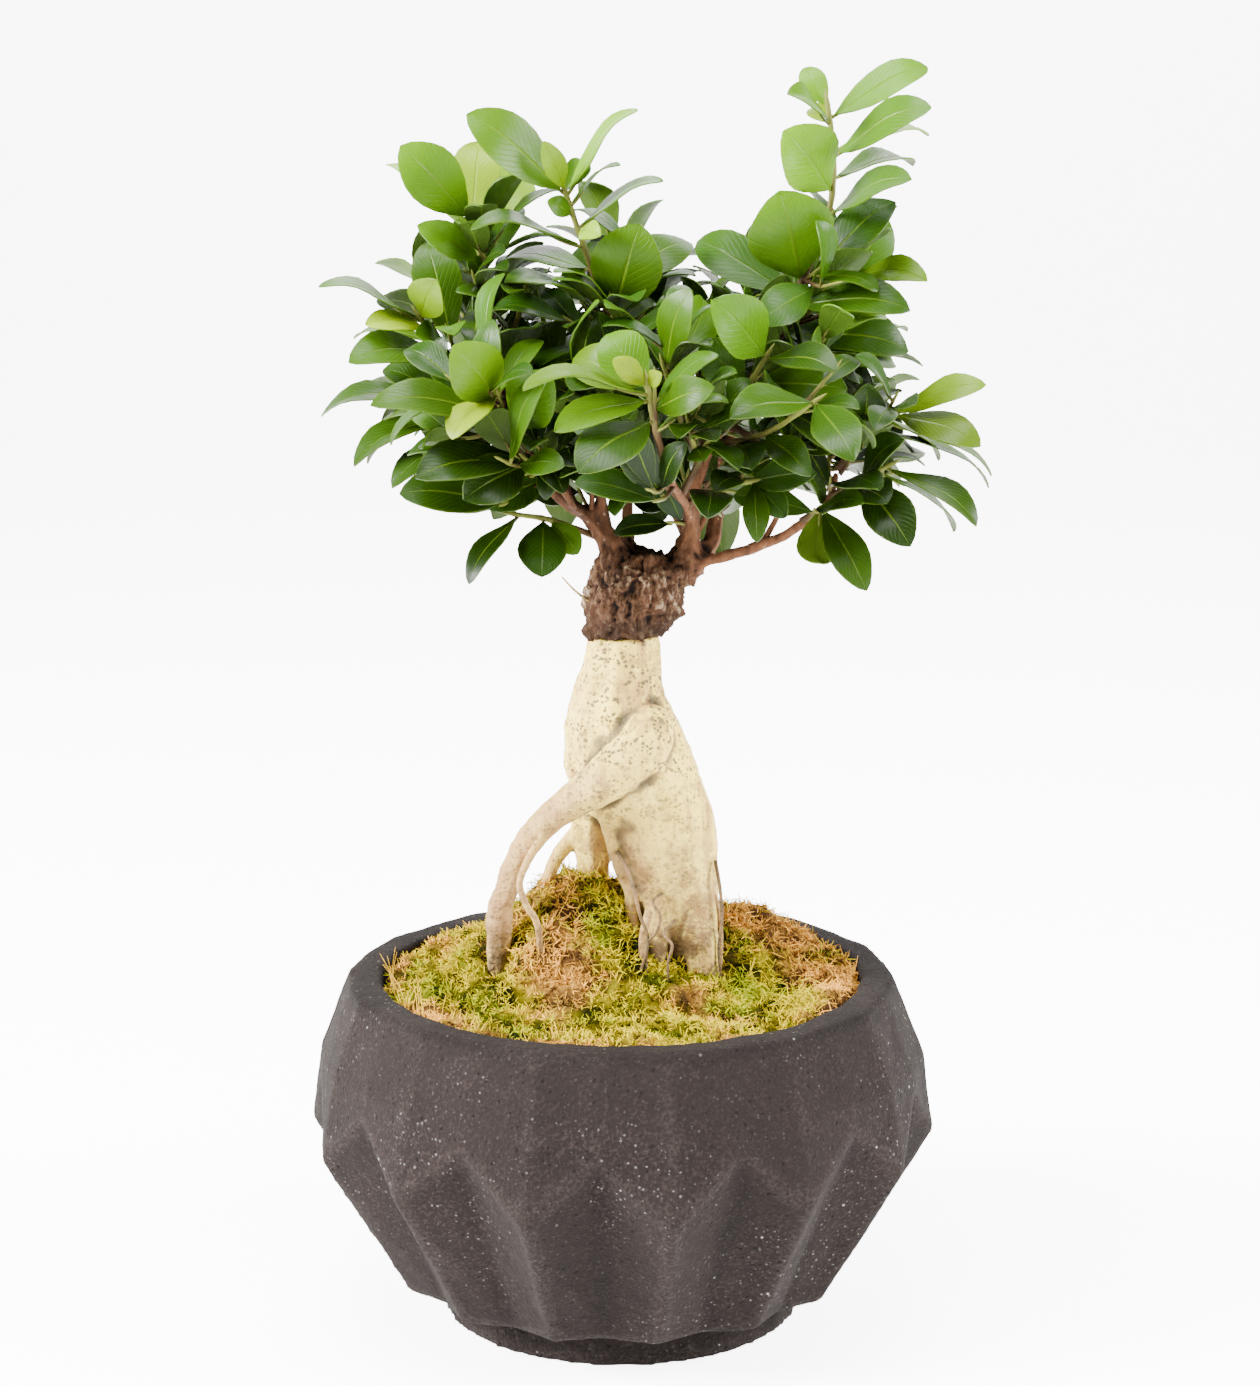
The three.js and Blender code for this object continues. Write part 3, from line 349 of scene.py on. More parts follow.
FRONT_SHOOTS = {
    "shoot_upper_left": (
        [(-1, -6, 316), (-7, -8, 332), (-12, -10, 346), (-17, -12, 361)],
        [
            (0.97, -46, -22, 384, 17, RIGHT_FRONT, 0.45), (0.97, 5, -8, 385, 12, LEFT_UP, 0.55),
            (1, -23, -23, 376, 7, FRONT, 0.8), (1, -11, -2, 369, 7, FRONT, 0.3),
            (0.9, 0, -21, 369, 9, UP, 0.2), (0.75, 13, -17, 364, 13, UP, 0.15),
            (0.83, -22, -17, 358, 6, FRONT, 0.4), (0.72, -6, -23, 348, 7, FRONT, 0.8),
            (0.62, -45, -26, 350, 14, UP, 0.2), (0.45, -37, 9, 337, 16, UP, 0.15),
            (0.14, -35, -25, 334, 15, UP, 0.15), (0.1, 6, -17, 351, 22, FRONT, 0.45),
            (0.3, 22, 11, 343, 15, UP_FRONT, 0.25), (0.08, 11, 15, 326, 13, UP, 0.1),
        ],
    ),
    "shoot_left_crown": (
        [(-41, 8, 325), (-43, 6, 338), (-46, 4, 351)],
        [
            (1, -67, -7, 374, 18, FRONT, 0.45), (0.97, -44, 17, 374, 15, FRONT, 0.9),
            (0.95, -31, 24, 365, 20, FRONT, 0.75), (0.5, -62, -9, 350, 10, FRONT, 0.35),
            (0.5, -51, 12, 350, 9, FRONT, 0.25), (0.35, -39, 17, 352, 12, FRONT, 0.25),
            (0.3, -47, 4, 340, 5, FRONT, 0.2), (0.8, -73, 20, 367, 10, UP, 0.6),
            (0.12, -9, -6, 327, 16, UP_FRONT, 0.4),
        ],
    ),
    "shoot_far_left": (
        [(-47, 6, 301), (-56, 3, 312), (-62, 0, 321)],
        [
            (1, -92, -13, 332, 13, UP, 0.35), (1, -56, -14, 334, 13, FRONT, 0.85),
            (0.75, -48, 14, 331, 10, AWAY, 0.3), (0.85, -78, -12, 320, 9, UP_FRONT, 0.95),
            (0.6, -84, 17, 313, 8, UP, 0.5), (0.45, -83, -16, 309, 14, UP_FRONT, 0.3),
            (0.3, -63, -10, 317, 13, UP_FRONT, 0.2), (0.25, -75, 21, 306, 11, UP, 0.25),
        ],
    ),
    "shoot_left_front": (
        [(-28, -18, 282), (-35, -30, 294), (-37, -36, 302)],
        [
            (0.75, -49, -52, 318, 18, FRONT, 0.55), (0.97, -50, -51, 290, 12, LEFT_FRONT, 1),
            (1, -24, -18, 316, 9, UP, 0.35), (0.6, -74, -49, 300, 13, UP_FRONT, 0.45),
            (0.35, -73, -12, 291, 12, UP, 0.5), (0.3, -21, -46, 309, 18, FRONT, 0.35),
        ],
    ),
    "shoot_left_low": (
        [(-31, -2, 276), (-43, -2, 289), (-54, 0, 298)],
        [
            (1, -93, -18, 291, 15, UP, 0.2), (0.7, -82, -16, 277, 14, UP, 0.2),
            (0.4, -70, -21, 271, 13, UP, 0.15), (0.55, -62, 10, 279, 9, UP, 0.15),
        ],
    ),
    "shoot_left_under": (
        [(-19, -5, 269), (-25, -20, 276), (-29, -28, 281)],
        [
            (1, -61, -49, 278, 16, UP_FRONT, 0.15), (0.85, -47, -49, 271, 16, FRONT, 0.15),
            (0.7, -64, -4, 266, 13, AWAY, 0.85), (0.5, -48, -4, 261, 12, AWAY, 0.9),
            (0.6, -55, -22, 264, 8, UP, 0.2), (0.3, -41, -29, 266, 12, FRONT, 0.1),
            (0.15, -34, -24, 266, 14, FRONT, 0.1),
        ],
    ),
    "shoot_low_twig": (
        [(-7, 2, 252), (-14, -6, 256), (-23, -12, 260), (-32, -16, 262)],
        [
            (1, -46, -37, 244, 8, UP, 0.1), (0.7, -24, -31, 245, 15, FRONT, 0.1),
            (0.62, -13, -2, 250, 9, FRONT, 0.5), (0.5, -24, -20, 265, 9, UP_FRONT, 0.3),
        ],
    ),
    "shoot_front_centre": (
        [(14, -38, 278), (11, -50, 291), (9, -56, 301), (8, -58, 307)],
        [
            (0.85, -28, -78, 308, 12, UP, 0.6), (0.75, -19, -73, 295, 11, UP_FRONT, 0.5),
            (0.6, 27, -74, 308, 11, FRONT, 0.4), (1, -2, -63, 315, 7, FRONT, 1),
            (1, 12, -65, 311, 5, FRONT, 1), (0.95, -14, -41, 313, 13, FRONT, 0.6),
            (0.9, -4, -38, 321, 15, FRONT, 0.35), (0.5, -12, -80, 284, 17, UP_FRONT, 0.15),
            (0.4, 31, -69, 303, 10, UP, 0.2),
        ],
    ),
    "shoot_front_low": (
        [(18.5, -18, 268), (24, -25, 280), (22, -38, 287)],
        [
            (1, 11, -59, 268, 17, FRONT, 0.25), (0.9, 25, -40, 282, 8, FRONT, 0.3),
        ],
    ),
    "shoot_front_crown": (
        [(25, -4, 279), (21, -13, 285), (17, -28, 297), (13, -36, 310)],
        [
            (1, 21, -49, 334, 13, LEFT_FRONT, 0.35), (0.9, 25, -11, 328, 14, RIGHT_FRONT, 0.4),
            (0.65, 19, -55, 299, 15, FRONT, 0.1),
        ],
    ),
    "shoot_upper_right": (
        [(46, 0, 309), (52, -2, 324), (59, -4, 340), (64, -5, 355), (65, -5, 371), (63, -4, 386)],
        [
            (0.93, 50, -21, 390, 11, UP_FRONT, 0.45), (1, 56, 3, 397, 8, FRONT, 0.5),
            (0.95, 94, 4, 397, 12, UP_FRONT, 0.45), (0.8, 93, -23, 386, 15, UP_FRONT, 0.25),
            (0.82, 96, 19, 376, 10, UP, 0.7), (0.93, 59, 5, 385, 7, FRONT, 0.9),
            (0.66, 49, -20, 379, 21, FRONT, 0.5), (0.72, 91, 15, 367, 12, UP, 0.2),
            (0.58, 87, -28, 365, 14, UP_FRONT, 0.2), (0.5, 86, 17, 354, 10, UP, 0.3),
            (0.3, 48, -17, 361, 27, FRONT, 0.45), (0.25, 24, 13, 343, 15, FRONT, 0.1),
            (0.22, 88, -18, 325, 14, UP_FRONT, 0.15), (0.1, 89, -19, 311, 17, UP_FRONT, 0.12),
            (0.04, 79, 10, 306, 15, UP, 0.05), (0.14, 47, 17, 326, 13, FRONT, 0.2),
        ],
    ),
    "shoot_right_side": (
        [(39, -2, 300), (48, 11, 310), (62, 13, 325), (72, 12, 334)],
        [
            (1, 94, -7, 333, 11, UP_FRONT, 0.6), (0.95, 68, 24, 342, 9, FRONT, 1),
            (0.75, 63, 24, 336, 8, UP, 0.3),
        ],
    ),
    "shoot_right_inner": (
        [(34, -4, 292), (36, -13, 295), (39, -24, 303), (44, -28, 312)],
        [
            (1, 27, -48, 331, 18, FRONT, 0.3), (0.6, 24, -46, 317, 15, FRONT, 0.15),
            (0.4, 29, -38, 302, 12, UP_FRONT, 0.3), (1, 64, -50, 310, 12, UP_FRONT, 0.15),
            (0.7, 68, -52, 303, 14, FRONT, 0.35),
        ],
    ),
    "shoot_right_front": (
        [(29, -4, 283), (34, -14, 284), (46, -36, 291), (58, -48, 301)],
        [
            (1, 32, -64, 298, 13, UP_FRONT, 0.2), (1, 68, -74, 287, 14, FRONT, 0.15),
            (0.9, 71, -30, 299, 11, UP, 0.1), (0.6, 56, -58, 280, 10, FRONT, 0.15),
            (0.4, 39, -51, 280, 15, FRONT, 0.1), (0.25, 28, -39, 281, 9, FRONT, 0.3),
        ],
    ),
    "shoot_right_mid": (
        [(67, -10, 275), (75, -12, 286), (84, -12, 293)],
        [
            (0.5, 75, -22, 303, 12, FRONT, 0.15), (0.9, 89, -30, 298, 11, UP_FRONT, 0.2),
            (1, 111, -23, 303, 10, UP_FRONT, 0.76), (1, 109, -30, 285, 12, UP_FRONT, 0.72),
            (0.9, 99, -3, 277, 9, UP, 0.8), (0.7, 115, 0, 268, 7, UP, 0.3),
            (0.85, 115, -8, 273, 7, UP, 0.5),
        ],
    ),
    "shoot_right_low": (
        [(65, -12, 267), (74, -16, 273), (82, -16, 277)],
        [
            (1, 108, -33, 261, 12, UP, 0.3), (0.85, 104, -5, 255, 11, UP, 0.25),
            (0.5, 88, -34, 255, 15, FRONT, 0.15), (0.45, 86, -29, 287, 12, UP_FRONT, 0.1),
            (0.3, 81, -32, 268, 14, UP_FRONT, 0.1),
        ],
    ),
    "shoot_right_hang": (
        [(56, -10, 259), (62, -14, 264)],
        [
            (1, 75, -32, 241, 12, FRONT, 0.3), (0.9, 60, -22, 249, 12, AWAY, 0.7),
        ],
    ),
    "shoot_right_drop": (
        [(20.5, -10, 263.5), (26, -15, 269), (33, -20, 272), (41, -26, 274)],
        [
            (1, 41, -44, 258, 8, FRONT, 0.3), (0.95, 50, -39, 264, 9, FRONT, 0.1),
            (0.9, 59, -34, 278, 10, FRONT, 0.1), (0.45, 26, -33, 266, 13, FRONT, 0.05),
        ],
    ),
}

SPIRAL_SHOOTS = {
    "shoot_back_left": ([(-21, 25, 276), (-34, 38, 290), (-45, 48, 305)], 9, 34),
    "shoot_back_centre": ([(4, 22, 298), (2, 32, 318), (-2, 38, 340)], 10, 35),
    "shoot_back_right": ([(33, 22, 278), (37, 38, 300), (44, 47, 322)], 10, 35),
    "shoot_back_low_right": ([(55, 26, 267), (68, 38, 276), (78, 46, 288)], 8, 33),
    "shoot_back_low_left": ([(-10, 17, 270), (-18, 36, 268), (-24, 54, 276)], 8, 32),
    "shoot_back_low": ([(33, 22, 275), (28, 40, 272), (24, 56, 280)], 8, 33),
    "shoot_inner_left": ([(-8, -4, 286), (-18, 4, 299), (-24, 10, 314)], 8, 30),
    "shoot_inner_right": ([(26, -3, 279), (24, 6, 298), (26, 10, 318)], 8, 31),
    "shoot_inner_front": ([(20, -12, 265), (9, -16, 276), (1, -17, 287)], 6, 27),
    "shoot_inner_low_left": ([(-18, -3, 265), (-20, 4, 279), (-23, 3, 292)], 6, 27),
    "shoot_inner_mid": ([(-7, -3, 270), (-4, -15, 286), (-3, -20, 301)], 6, 28),
    "shoot_inner_low_right": ([(32, -3, 290), (44, -12, 283), (53, -17, 282)], 6, 27),
    "shoot_inner_high_right": ([(39, -2, 300), (55, -10, 309), (64, -14, 318)], 6, 28),
    "shoot_inner_crown": ([(-4, -5, 303), (5, 3, 317), (9, 6, 333)], 6, 27),
    "shoot_inner_high_left": ([(-41, 9, 308), (-33, 2, 318), (-29, -2, 331)], 6, 27),
    "shoot_back_side_left": ([(-40, 9, 308), (-50, 22, 316), (-58, 32, 326)], 7, 31),
    "shoot_back_side_right": ([(37, 27, 288), (56, 26, 297), (72, 32, 310)], 8, 32),
}

SPIRAL_TURN = 137.5
SPIRAL_TURN_PLAY = 20
SPIRAL_SPREAD = (78, 32)
SPIRAL_SPREAD_PLAY = 14
SPIRAL_FIRST_SHARE = 0.3
SPIRAL_TIP_LENGTH = 0.72
SPIRAL_LENGTH_PLAY = (0.88, 1.1)
SPIRAL_SHAPE = 0.46
SPIRAL_SHAPE_PLAY = (0.9, 1.1)
SPIRAL_DROOP = 0.16
SPIRAL_SKYWARD = 0.6
LAYOUT_SEED = 20417
LAST_SHARE = 0.99
LEANS = (0, -4, 4, -8, 8, -12, 12, -16, 16, -20, 20)
TIP_HALF = (0.8, 0.35)
TIP_TOLERANCE = 0.12
STALK_SHARE = 0.14
BOW = 0.11


LOT_STEP = 16807
LOT_COUNT = 2147483647


class Lot:
    """Repeatable numbers between 0 and 1, in the same order as the frame's shoots drew them."""

    def __init__(self, seed):
        self.state = seed

    def draw(self):
        """The next number."""
        self.state = self.state * LOT_STEP % LOT_COUNT
        return self.state / LOT_COUNT


def mix(first, second, share):
    """The value a share of the way from first to second."""
    return first + (second - first) * share


def kept(value, low=0.0, high=1.0):
    """The value, kept between two limits."""
    return min(max(value, low), high)


def unit(way):
    """A vector of length one."""
    return way / np.linalg.norm(way)


def turned(way, about, angle):
    """A vector turned about a unit axis."""
    along = about * np.dot(about, way)
    return way * math.cos(angle) + np.cross(about, way) * math.sin(angle) + along * (1 - math.cos(angle))


def curve_point(points, share):
    """A point on the centripetal Catmull-Rom curve through points."""
    points = np.asarray(points, float)
    last = len(points) - 1
    place = last * share
    first = min(int(place), last - 1)
    weight = place - first
    here, there = points[first], points[first + 1]
    before = points[first - 1] if first > 0 else 2 * points[0] - points[1]
    after = points[first + 2] if first + 2 <= last else 2 * points[last] - points[last - 1]
    d0, d1, d2 = (np.linalg.norm(b - a) ** 0.5 for a, b in ((before, here), (here, there), (there, after)))
    leave = ((here - before) / d0 - (there - before) / (d0 + d1) + (there - here) / d1) * d1
    arrive = ((there - here) / d1 - (after - here) / (d1 + d2) + (after - there) / d2) * d1
    square = -3 * here + 3 * there - 2 * leave - arrive
    cube = 2 * here - 2 * there + leave + arrive
    return here + leave * weight + square * weight ** 2 + cube * weight ** 3


def curve_way(points, share):
    """The direction of the curve at a share of its run."""
    return unit(curve_point(points, min(share + 0.0001, 1)) - curve_point(points, max(share - 0.0001, 0)))


def leaf_axes(leaf):
    """The middle line of a leaf, with its side and upward directions."""
    axis = leaf["tip"] - leaf["base"]
    up = unit(leaf["facing"] - axis * np.dot(leaf["facing"], axis) / np.dot(axis, axis))
    return axis, unit(np.cross(axis, up)), up


def shown_leaves(stem, rows):
    """The leaves that a front shoot's table gives."""
    leaves = []
    for share, x, y, z, width, facing, age in rows:
        base = curve_point(stem, min(share, LAST_SHARE))
        leaf = {"base": base, "tip": np.array((x, y, z), float), "facing": np.array(facing, float)}
        leaf.update(width=width, age=age, share=share, lean=np.array((0.0, 1.0, 0.0)))
        leaves.append(leaf)
    return leaves


def spiral_leaves(stem, count, length, lot):
    """The leaves of a spiral shoot, each a fixed turn from the last, standing up more towards its tip."""
    leaves = []
    turn = lot.draw() * 360
    for i in range(count):
        along = i / (count - 1)
        share = mix(SPIRAL_FIRST_SHARE, LAST_SHARE, along)
        base = curve_point(stem, share)
        stem_way = curve_way(stem, share)
        out_way = turned(unit(np.cross((0, 0, 1), stem_way)), stem_way, math.radians(turn))
        play = (lot.draw() - 0.5) * SPIRAL_SPREAD_PLAY
        angle = math.radians(mix(*SPIRAL_SPREAD, along) + play)
        reach = length * mix(1, SPIRAL_TIP_LENGTH, along) * mix(*SPIRAL_LENGTH_PLAY, lot.draw())
        way = stem_way * math.cos(angle) + out_way * math.sin(angle)
        way[2] -= SPIRAL_DROOP * (1 - along)
        width = reach * SPIRAL_SHAPE * mix(*SPIRAL_SHAPE_PLAY, lot.draw())
        leaf = {"base": base, "tip": base + unit(way) * reach, "facing": stem_way + (0, 0, SPIRAL_SKYWARD)}
        leaf.update(width=width, age=mix(0.1, 0.5, along ** 2), share=share, lean=stem_way)
        leaves.append(leaf)
        turn += SPIRAL_TURN + (lot.draw() - 0.5) * SPIRAL_TURN_PLAY
    return leaves


def built_leaf(leaf, corners):
    """The leaf as the frame has it, leaned aside as its tip corners show; None where it found no room."""
    tip = leaf["tip"]
    for step in LEANS:
        leaf["tip"] = tip + leaf["lean"] * step
        _, side, up = leaf_axes(leaf)
        ends = [leaf["tip"] + side * a * TIP_HALF[0] + up * b * TIP_HALF[1] for a in (-1, 1) for b in (-1, 1)]
        if sum(corners.find(Vector(end * MM))[2] < TIP_TOLERANCE * MM for end in ends) > 1:
            return leaf
    return None


def node_tree(name):
    """A search tree of a CAD node's vertices."""
    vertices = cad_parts[name].data.vertices
    tree = kdtree.KDTree(len(vertices))
    for vertex in vertices:
        tree.insert(vertex.co, vertex.index)
    tree.balance()
    return tree


def crown_layout():
    """Every shoot's stem and leaves: {name: (stem, leaves)}."""
    lot = Lot(LAYOUT_SEED)
    wanted = {name: (stem, shown_leaves(stem, rows)) for name, (stem, rows) in FRONT_SHOOTS.items()}
    for name, (stem, count, length) in SPIRAL_SHOOTS.items():
        wanted[name] = (stem, spiral_leaves(stem, count, length, lot))
    crown = {}
    for name, (stem, leaves) in wanted.items():
        corners = node_tree(name)
        found = [built_leaf(leaf, corners) for leaf in leaves]
        crown[name] = (stem, [leaf for leaf in found if leaf])
    return crown


# Mesh helpers

MERGE_DISTANCE = 2e-6


def finish_piece(name, mesh, material, nodes=()):
    """Links a mesh as a piece that rides on the body and stands for the CAD nodes it replaces."""
    mesh.name = name
    mesh.materials.clear()
    mesh.materials.append(material)
    piece = bpy.data.objects.new(name, mesh)
    bpy.context.scene.collection.objects.link(piece)
    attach(piece, ROOT_BODY)
    if nodes:
        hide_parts(*nodes)
    return piece


def node_copy(name):
    """A bmesh copy of a CAD node with its loose triangles merged."""
    bm = bmesh.new()
    bm.from_mesh(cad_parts[name].data)
    bmesh.ops.remove_doubles(bm, verts=bm.verts, dist=MERGE_DISTANCE)
    return bm


def as_mesh(bm, name, smooth=True):
    """Turns a bmesh into a mesh and frees it."""
    for face in bm.faces:
        face.smooth = smooth
    mesh = bpy.data.meshes.new(name)
    bm.to_mesh(mesh)
    bm.free()
    return mesh


def closed_mesh(bm, name, smooth=True):
    """Turns a bmesh of closed shapes into a mesh, with every face turned outwards."""
    bmesh.ops.recalc_face_normals(bm, faces=bm.faces)
    return as_mesh(bm, name, smooth)


def remeshed(bm, name, cell, rounds):
    """An even, softened mesh of small cells made from a bmesh."""
    rough = as_mesh(bm, name + "_rough")
    holder = bpy.data.objects.new(name + "_rough", rough)
    bpy.context.scene.collection.objects.link(holder)
    cells = holder.modifiers.new("Cells", "REMESH")
    cells.mode = "VOXEL"
    cells.voxel_size = cell
    cells.use_smooth_shade = True
    soft = holder.modifiers.new("Soften", "SMOOTH")
    soft.factor = 0.5
    soft.iterations = rounds
    evaluated = holder.evaluated_get(bpy.context.evaluated_depsgraph_get())
    mesh = bpy.data.meshes.new_from_object(evaluated)
    bpy.data.objects.remove(holder)
    bpy.data.meshes.remove(rough)
    return mesh


def push_out(mesh, height):
    """Moves each point along its normal by what height gives for its place and normal."""
    moved = [vertex.co + vertex.normal * height(vertex.co, vertex.normal) for vertex in mesh.vertices]
    for vertex, place in zip(mesh.vertices, moved):
        vertex.co = place
    mesh.update()


def read_points(mesh, kind):
    """The mesh's point values of a kind, such as co, as rows of three."""
    values = np.empty(len(mesh.vertices) * 3)
    if kind == "normal":
        mesh.vertex_normals.foreach_get("vector", values)
    else:
        mesh.vertices.foreach_get(kind, values)
    return values.reshape(-1, 3)


def store_value(mesh, name, values):
    """Stores one number for each point as an attribute."""
    made = mesh.attributes.new(name, "FLOAT", "POINT")
    made.data.foreach_set("value", np.asarray(values, dtype=np.float32))


def store_even(mesh, **values):
    """Stores numbers that are the same at every point, each as the attribute of its name."""
    for name, value in values.items():
        store_value(mesh, name, np.full(len(mesh.vertices), value))


def softened(mesh, values, rounds):
    """The values of a mesh's points, one row each, averaged with their neighbours a number of times."""
    count = len(mesh.vertices)
    ends = np.empty(len(mesh.edges) * 2, dtype=np.int32)
    mesh.edges.foreach_get("vertices", ends)
    first, second = ends.reshape(-1, 2).T
    degree = np.bincount(ends, minlength=count)
    for _ in range(rounds):
        sums = []
        for row in values.T:
            sums.append(np.bincount(first, row[second], count) + np.bincount(second, row[first], count))
        values = np.stack(sums, axis=1) / degree[:, None]
    return values


def store_relief(mesh, rounds, reach):
    """Stores how far each point stands above its surroundings, from -1 to 1, as the attribute relief."""
    place = read_points(mesh, "co")
    proud = ((place - softened(mesh, place, rounds)) * read_points(mesh, "normal")).sum(axis=1)
    store_value(mesh, "relief", np.clip(proud / reach, -1, 1))


def picked(items, kind):
    """The items that are of one kind."""
    return [item for item in items if isinstance(item, kind)]


def ring_matrices(points, radii):
    """For each point of a run, the matrix that puts a flat unit circle square to the run there."""
    points = [Vector(point) for point in points]
    matrices = []
    across = None
    for i, (point, radius) in enumerate(zip(points, radii)):
        way = (points[min(i + 1, len(points) - 1)] - points[max(i - 1, 0)]).normalized()
        if across is None:
            across = way.orthogonal()
        across = (across - way * across.dot(way)).normalized()
        other = way.cross(across)
        columns = (across * radius, other * radius, way * radius, point)
        rows = [[column[k] for column in columns] for k in range(3)]
        matrices.append(Matrix((*rows, (0, 0, 0, 1))))
    return matrices


def add_tube(bm, points, radii, sides):
    """Adds a closed tube along points and returns its rings of vertices."""
    matrices = ring_matrices(points, radii)
    ring = bmesh.ops.create_circle(bm, segments=sides, radius=1, matrix=matrices[0])["verts"]
    edges = list({edge for vert in ring for edge in vert.link_edges})
    rings = [ring]
    for before, after in zip(matrices, matrices[1:]):
        made = bmesh.ops.extrude_edge_only(bm, edges=edges)["geom"]
        ring = picked(made, bmesh.types.BMVert)
        inside = set(ring)
        edges = [edge for edge in picked(made, bmesh.types.BMEdge) if inside.issuperset(edge.verts)]
        bmesh.ops.transform(bm, matrix=after @ before.inverted(), verts=ring)
        rings.append(ring)
    for end in (rings[0], rings[-1]):
        bmesh.ops.contextual_create(bm, geom=end)
    return rings


# Materials

def new_material(name):
    """A material with a Principled BSDF, and its node tree."""
    material = bpy.data.materials.new(name)
    material.use_nodes = True
    tree = material.node_tree
    return material, tree, tree.nodes["Principled BSDF"].inputs


def stored(tree, name, output="Fac"):
    """What was stored on the points of a mesh under a name."""
    return add(tree, "ShaderNodeAttribute", attribute_name=name).outputs[output]


# Heights where the bowl's stains and the stump's dark foot begin and where they are full
RIM_STAIN = (RIM_HEIGHT - 0.006, RIM_HEIGHT - 0.001)
FOOT_SCUFF = (0.022, 0.004)
BARK_BAND = (WOOD_FOOT + 0.012, WOOD_FOOT + 0.003)


def concrete_material(settings):
    """Dark rough cast concrete: grain, pores, pale grit, worn folds that also carry a painted highlight on
    their ridges, and painted shade in the valleys.
    """
    material, tree, shader = new_material("rough_concrete")
    place = object_place(tree)
    cloud = clouded(tree, place, 26.0, 1.5)
    tone = blend(tree, cloud, shaded(settings.concrete, 0.78), shaded(settings.concrete, 1.2))
    relief = stored(tree, "relief")
    # Painted shade: the valleys between the folds are painted darker
    valley_shade = spread(tree, relief, -0.1, -1.0)
    tone = blend(tree, times(tree, valley_shade, 0.5), tone, shaded(settings.concrete, 0.6))
    grain = fractal(tree, place, 900.0, 3.0, 0.7)
    # Partly wear and partly painted highlight: the ridges of the folds are painted paler in grainy patches
    worn_and_highlight = spread(tree, grain, 0.4, 0.7, 0.04, 0.4)
    fold = times(tree, spread(tree, relief, 0.3, 1.0), worn_and_highlight)
    tone = blend(tree, fold, tone, settings.rubbed_and_highlight)
    patch = spread(tree, fractal(tree, place, 21.0, 3.0, 0.6), 0.42, 0.66, 0.4, 1.0)
    speckle = times(tree, spread(tree, grain, 0.48, 0.66), patch)
    tone = blend(tree, speckle, tone, shaded(settings.concrete, 2.4))
    pores = flecked(tree, place, 520.0, 0.36, 0.3)
    tone = blend(tree, times(tree, pores, 0.8), tone, shaded(settings.concrete, 0.3))
    height = axes_of(tree, place)[2]
    rim = spread(tree, height, *RIM_STAIN)
    stain = times(tree, rim, spread(tree, cloud, 0.2, 0.8, 0.25, 0.8))
    tone = blend(tree, stain, tone, shaded(settings.concrete, 0.45))
    grit = flecked(tree, place, 420.0, 0.22, 0.05)
    dust = flecked(tree, place, 900.0, 0.4, 0.16)
    foot = spread(tree, height, *FOOT_SCUFF)
    scuff = times(tree, foot, spread(tree, fractal(tree, place, 110.0, 4.0, 0.7), 0.56, 0.66, 0.0, 0.55))
    tone = blend(tree, scuff, tone, settings.rubbed_and_highlight)
    pale = calculate(tree, "MAXIMUM", spread(tree, grit, 0.1, 0.6), times(tree, dust, 0.45))
    pale = times(tree, pale, spread(tree, patch, 0.45, 1.0, 0.15, 0.9))
    tone = blend(tree, pale, tone, settings.grit)
    tree.links.new(tone, shader["Base Color"])
    shader["Roughness"].default_value = 0.85
    shader["Specular IOR Level"].default_value = 0.08
    raised = calculate(tree, "SUBTRACT", grain, times(tree, pores, 0.8))
    tree.links.new(bump(tree, raised, 0.0007, 0.9), shader["Normal"])
    return material


def soil_material():
    """Dark crumbly potting soil."""
    material, tree, shader = new_material("potting_soil")
    place = object_place(tree)
    crumb = fractal(tree, place, 320.0, 5.0, 0.7)
    bits = flecked(tree, place, 260.0, 0.4, 0.25)
    tone = blend(tree, spread(tree, crumb, 0.3, 0.7), (0.018, 0.011, 0.007), (0.1, 0.062, 0.035))
    tree.links.new(blend(tree, bits, tone, (0.24, 0.17, 0.1)), shader["Base Color"])
    shader["Roughness"].default_value = 1.0
    tree.links.new(bump(tree, crumb, 0.002), shader["Normal"])
    return material


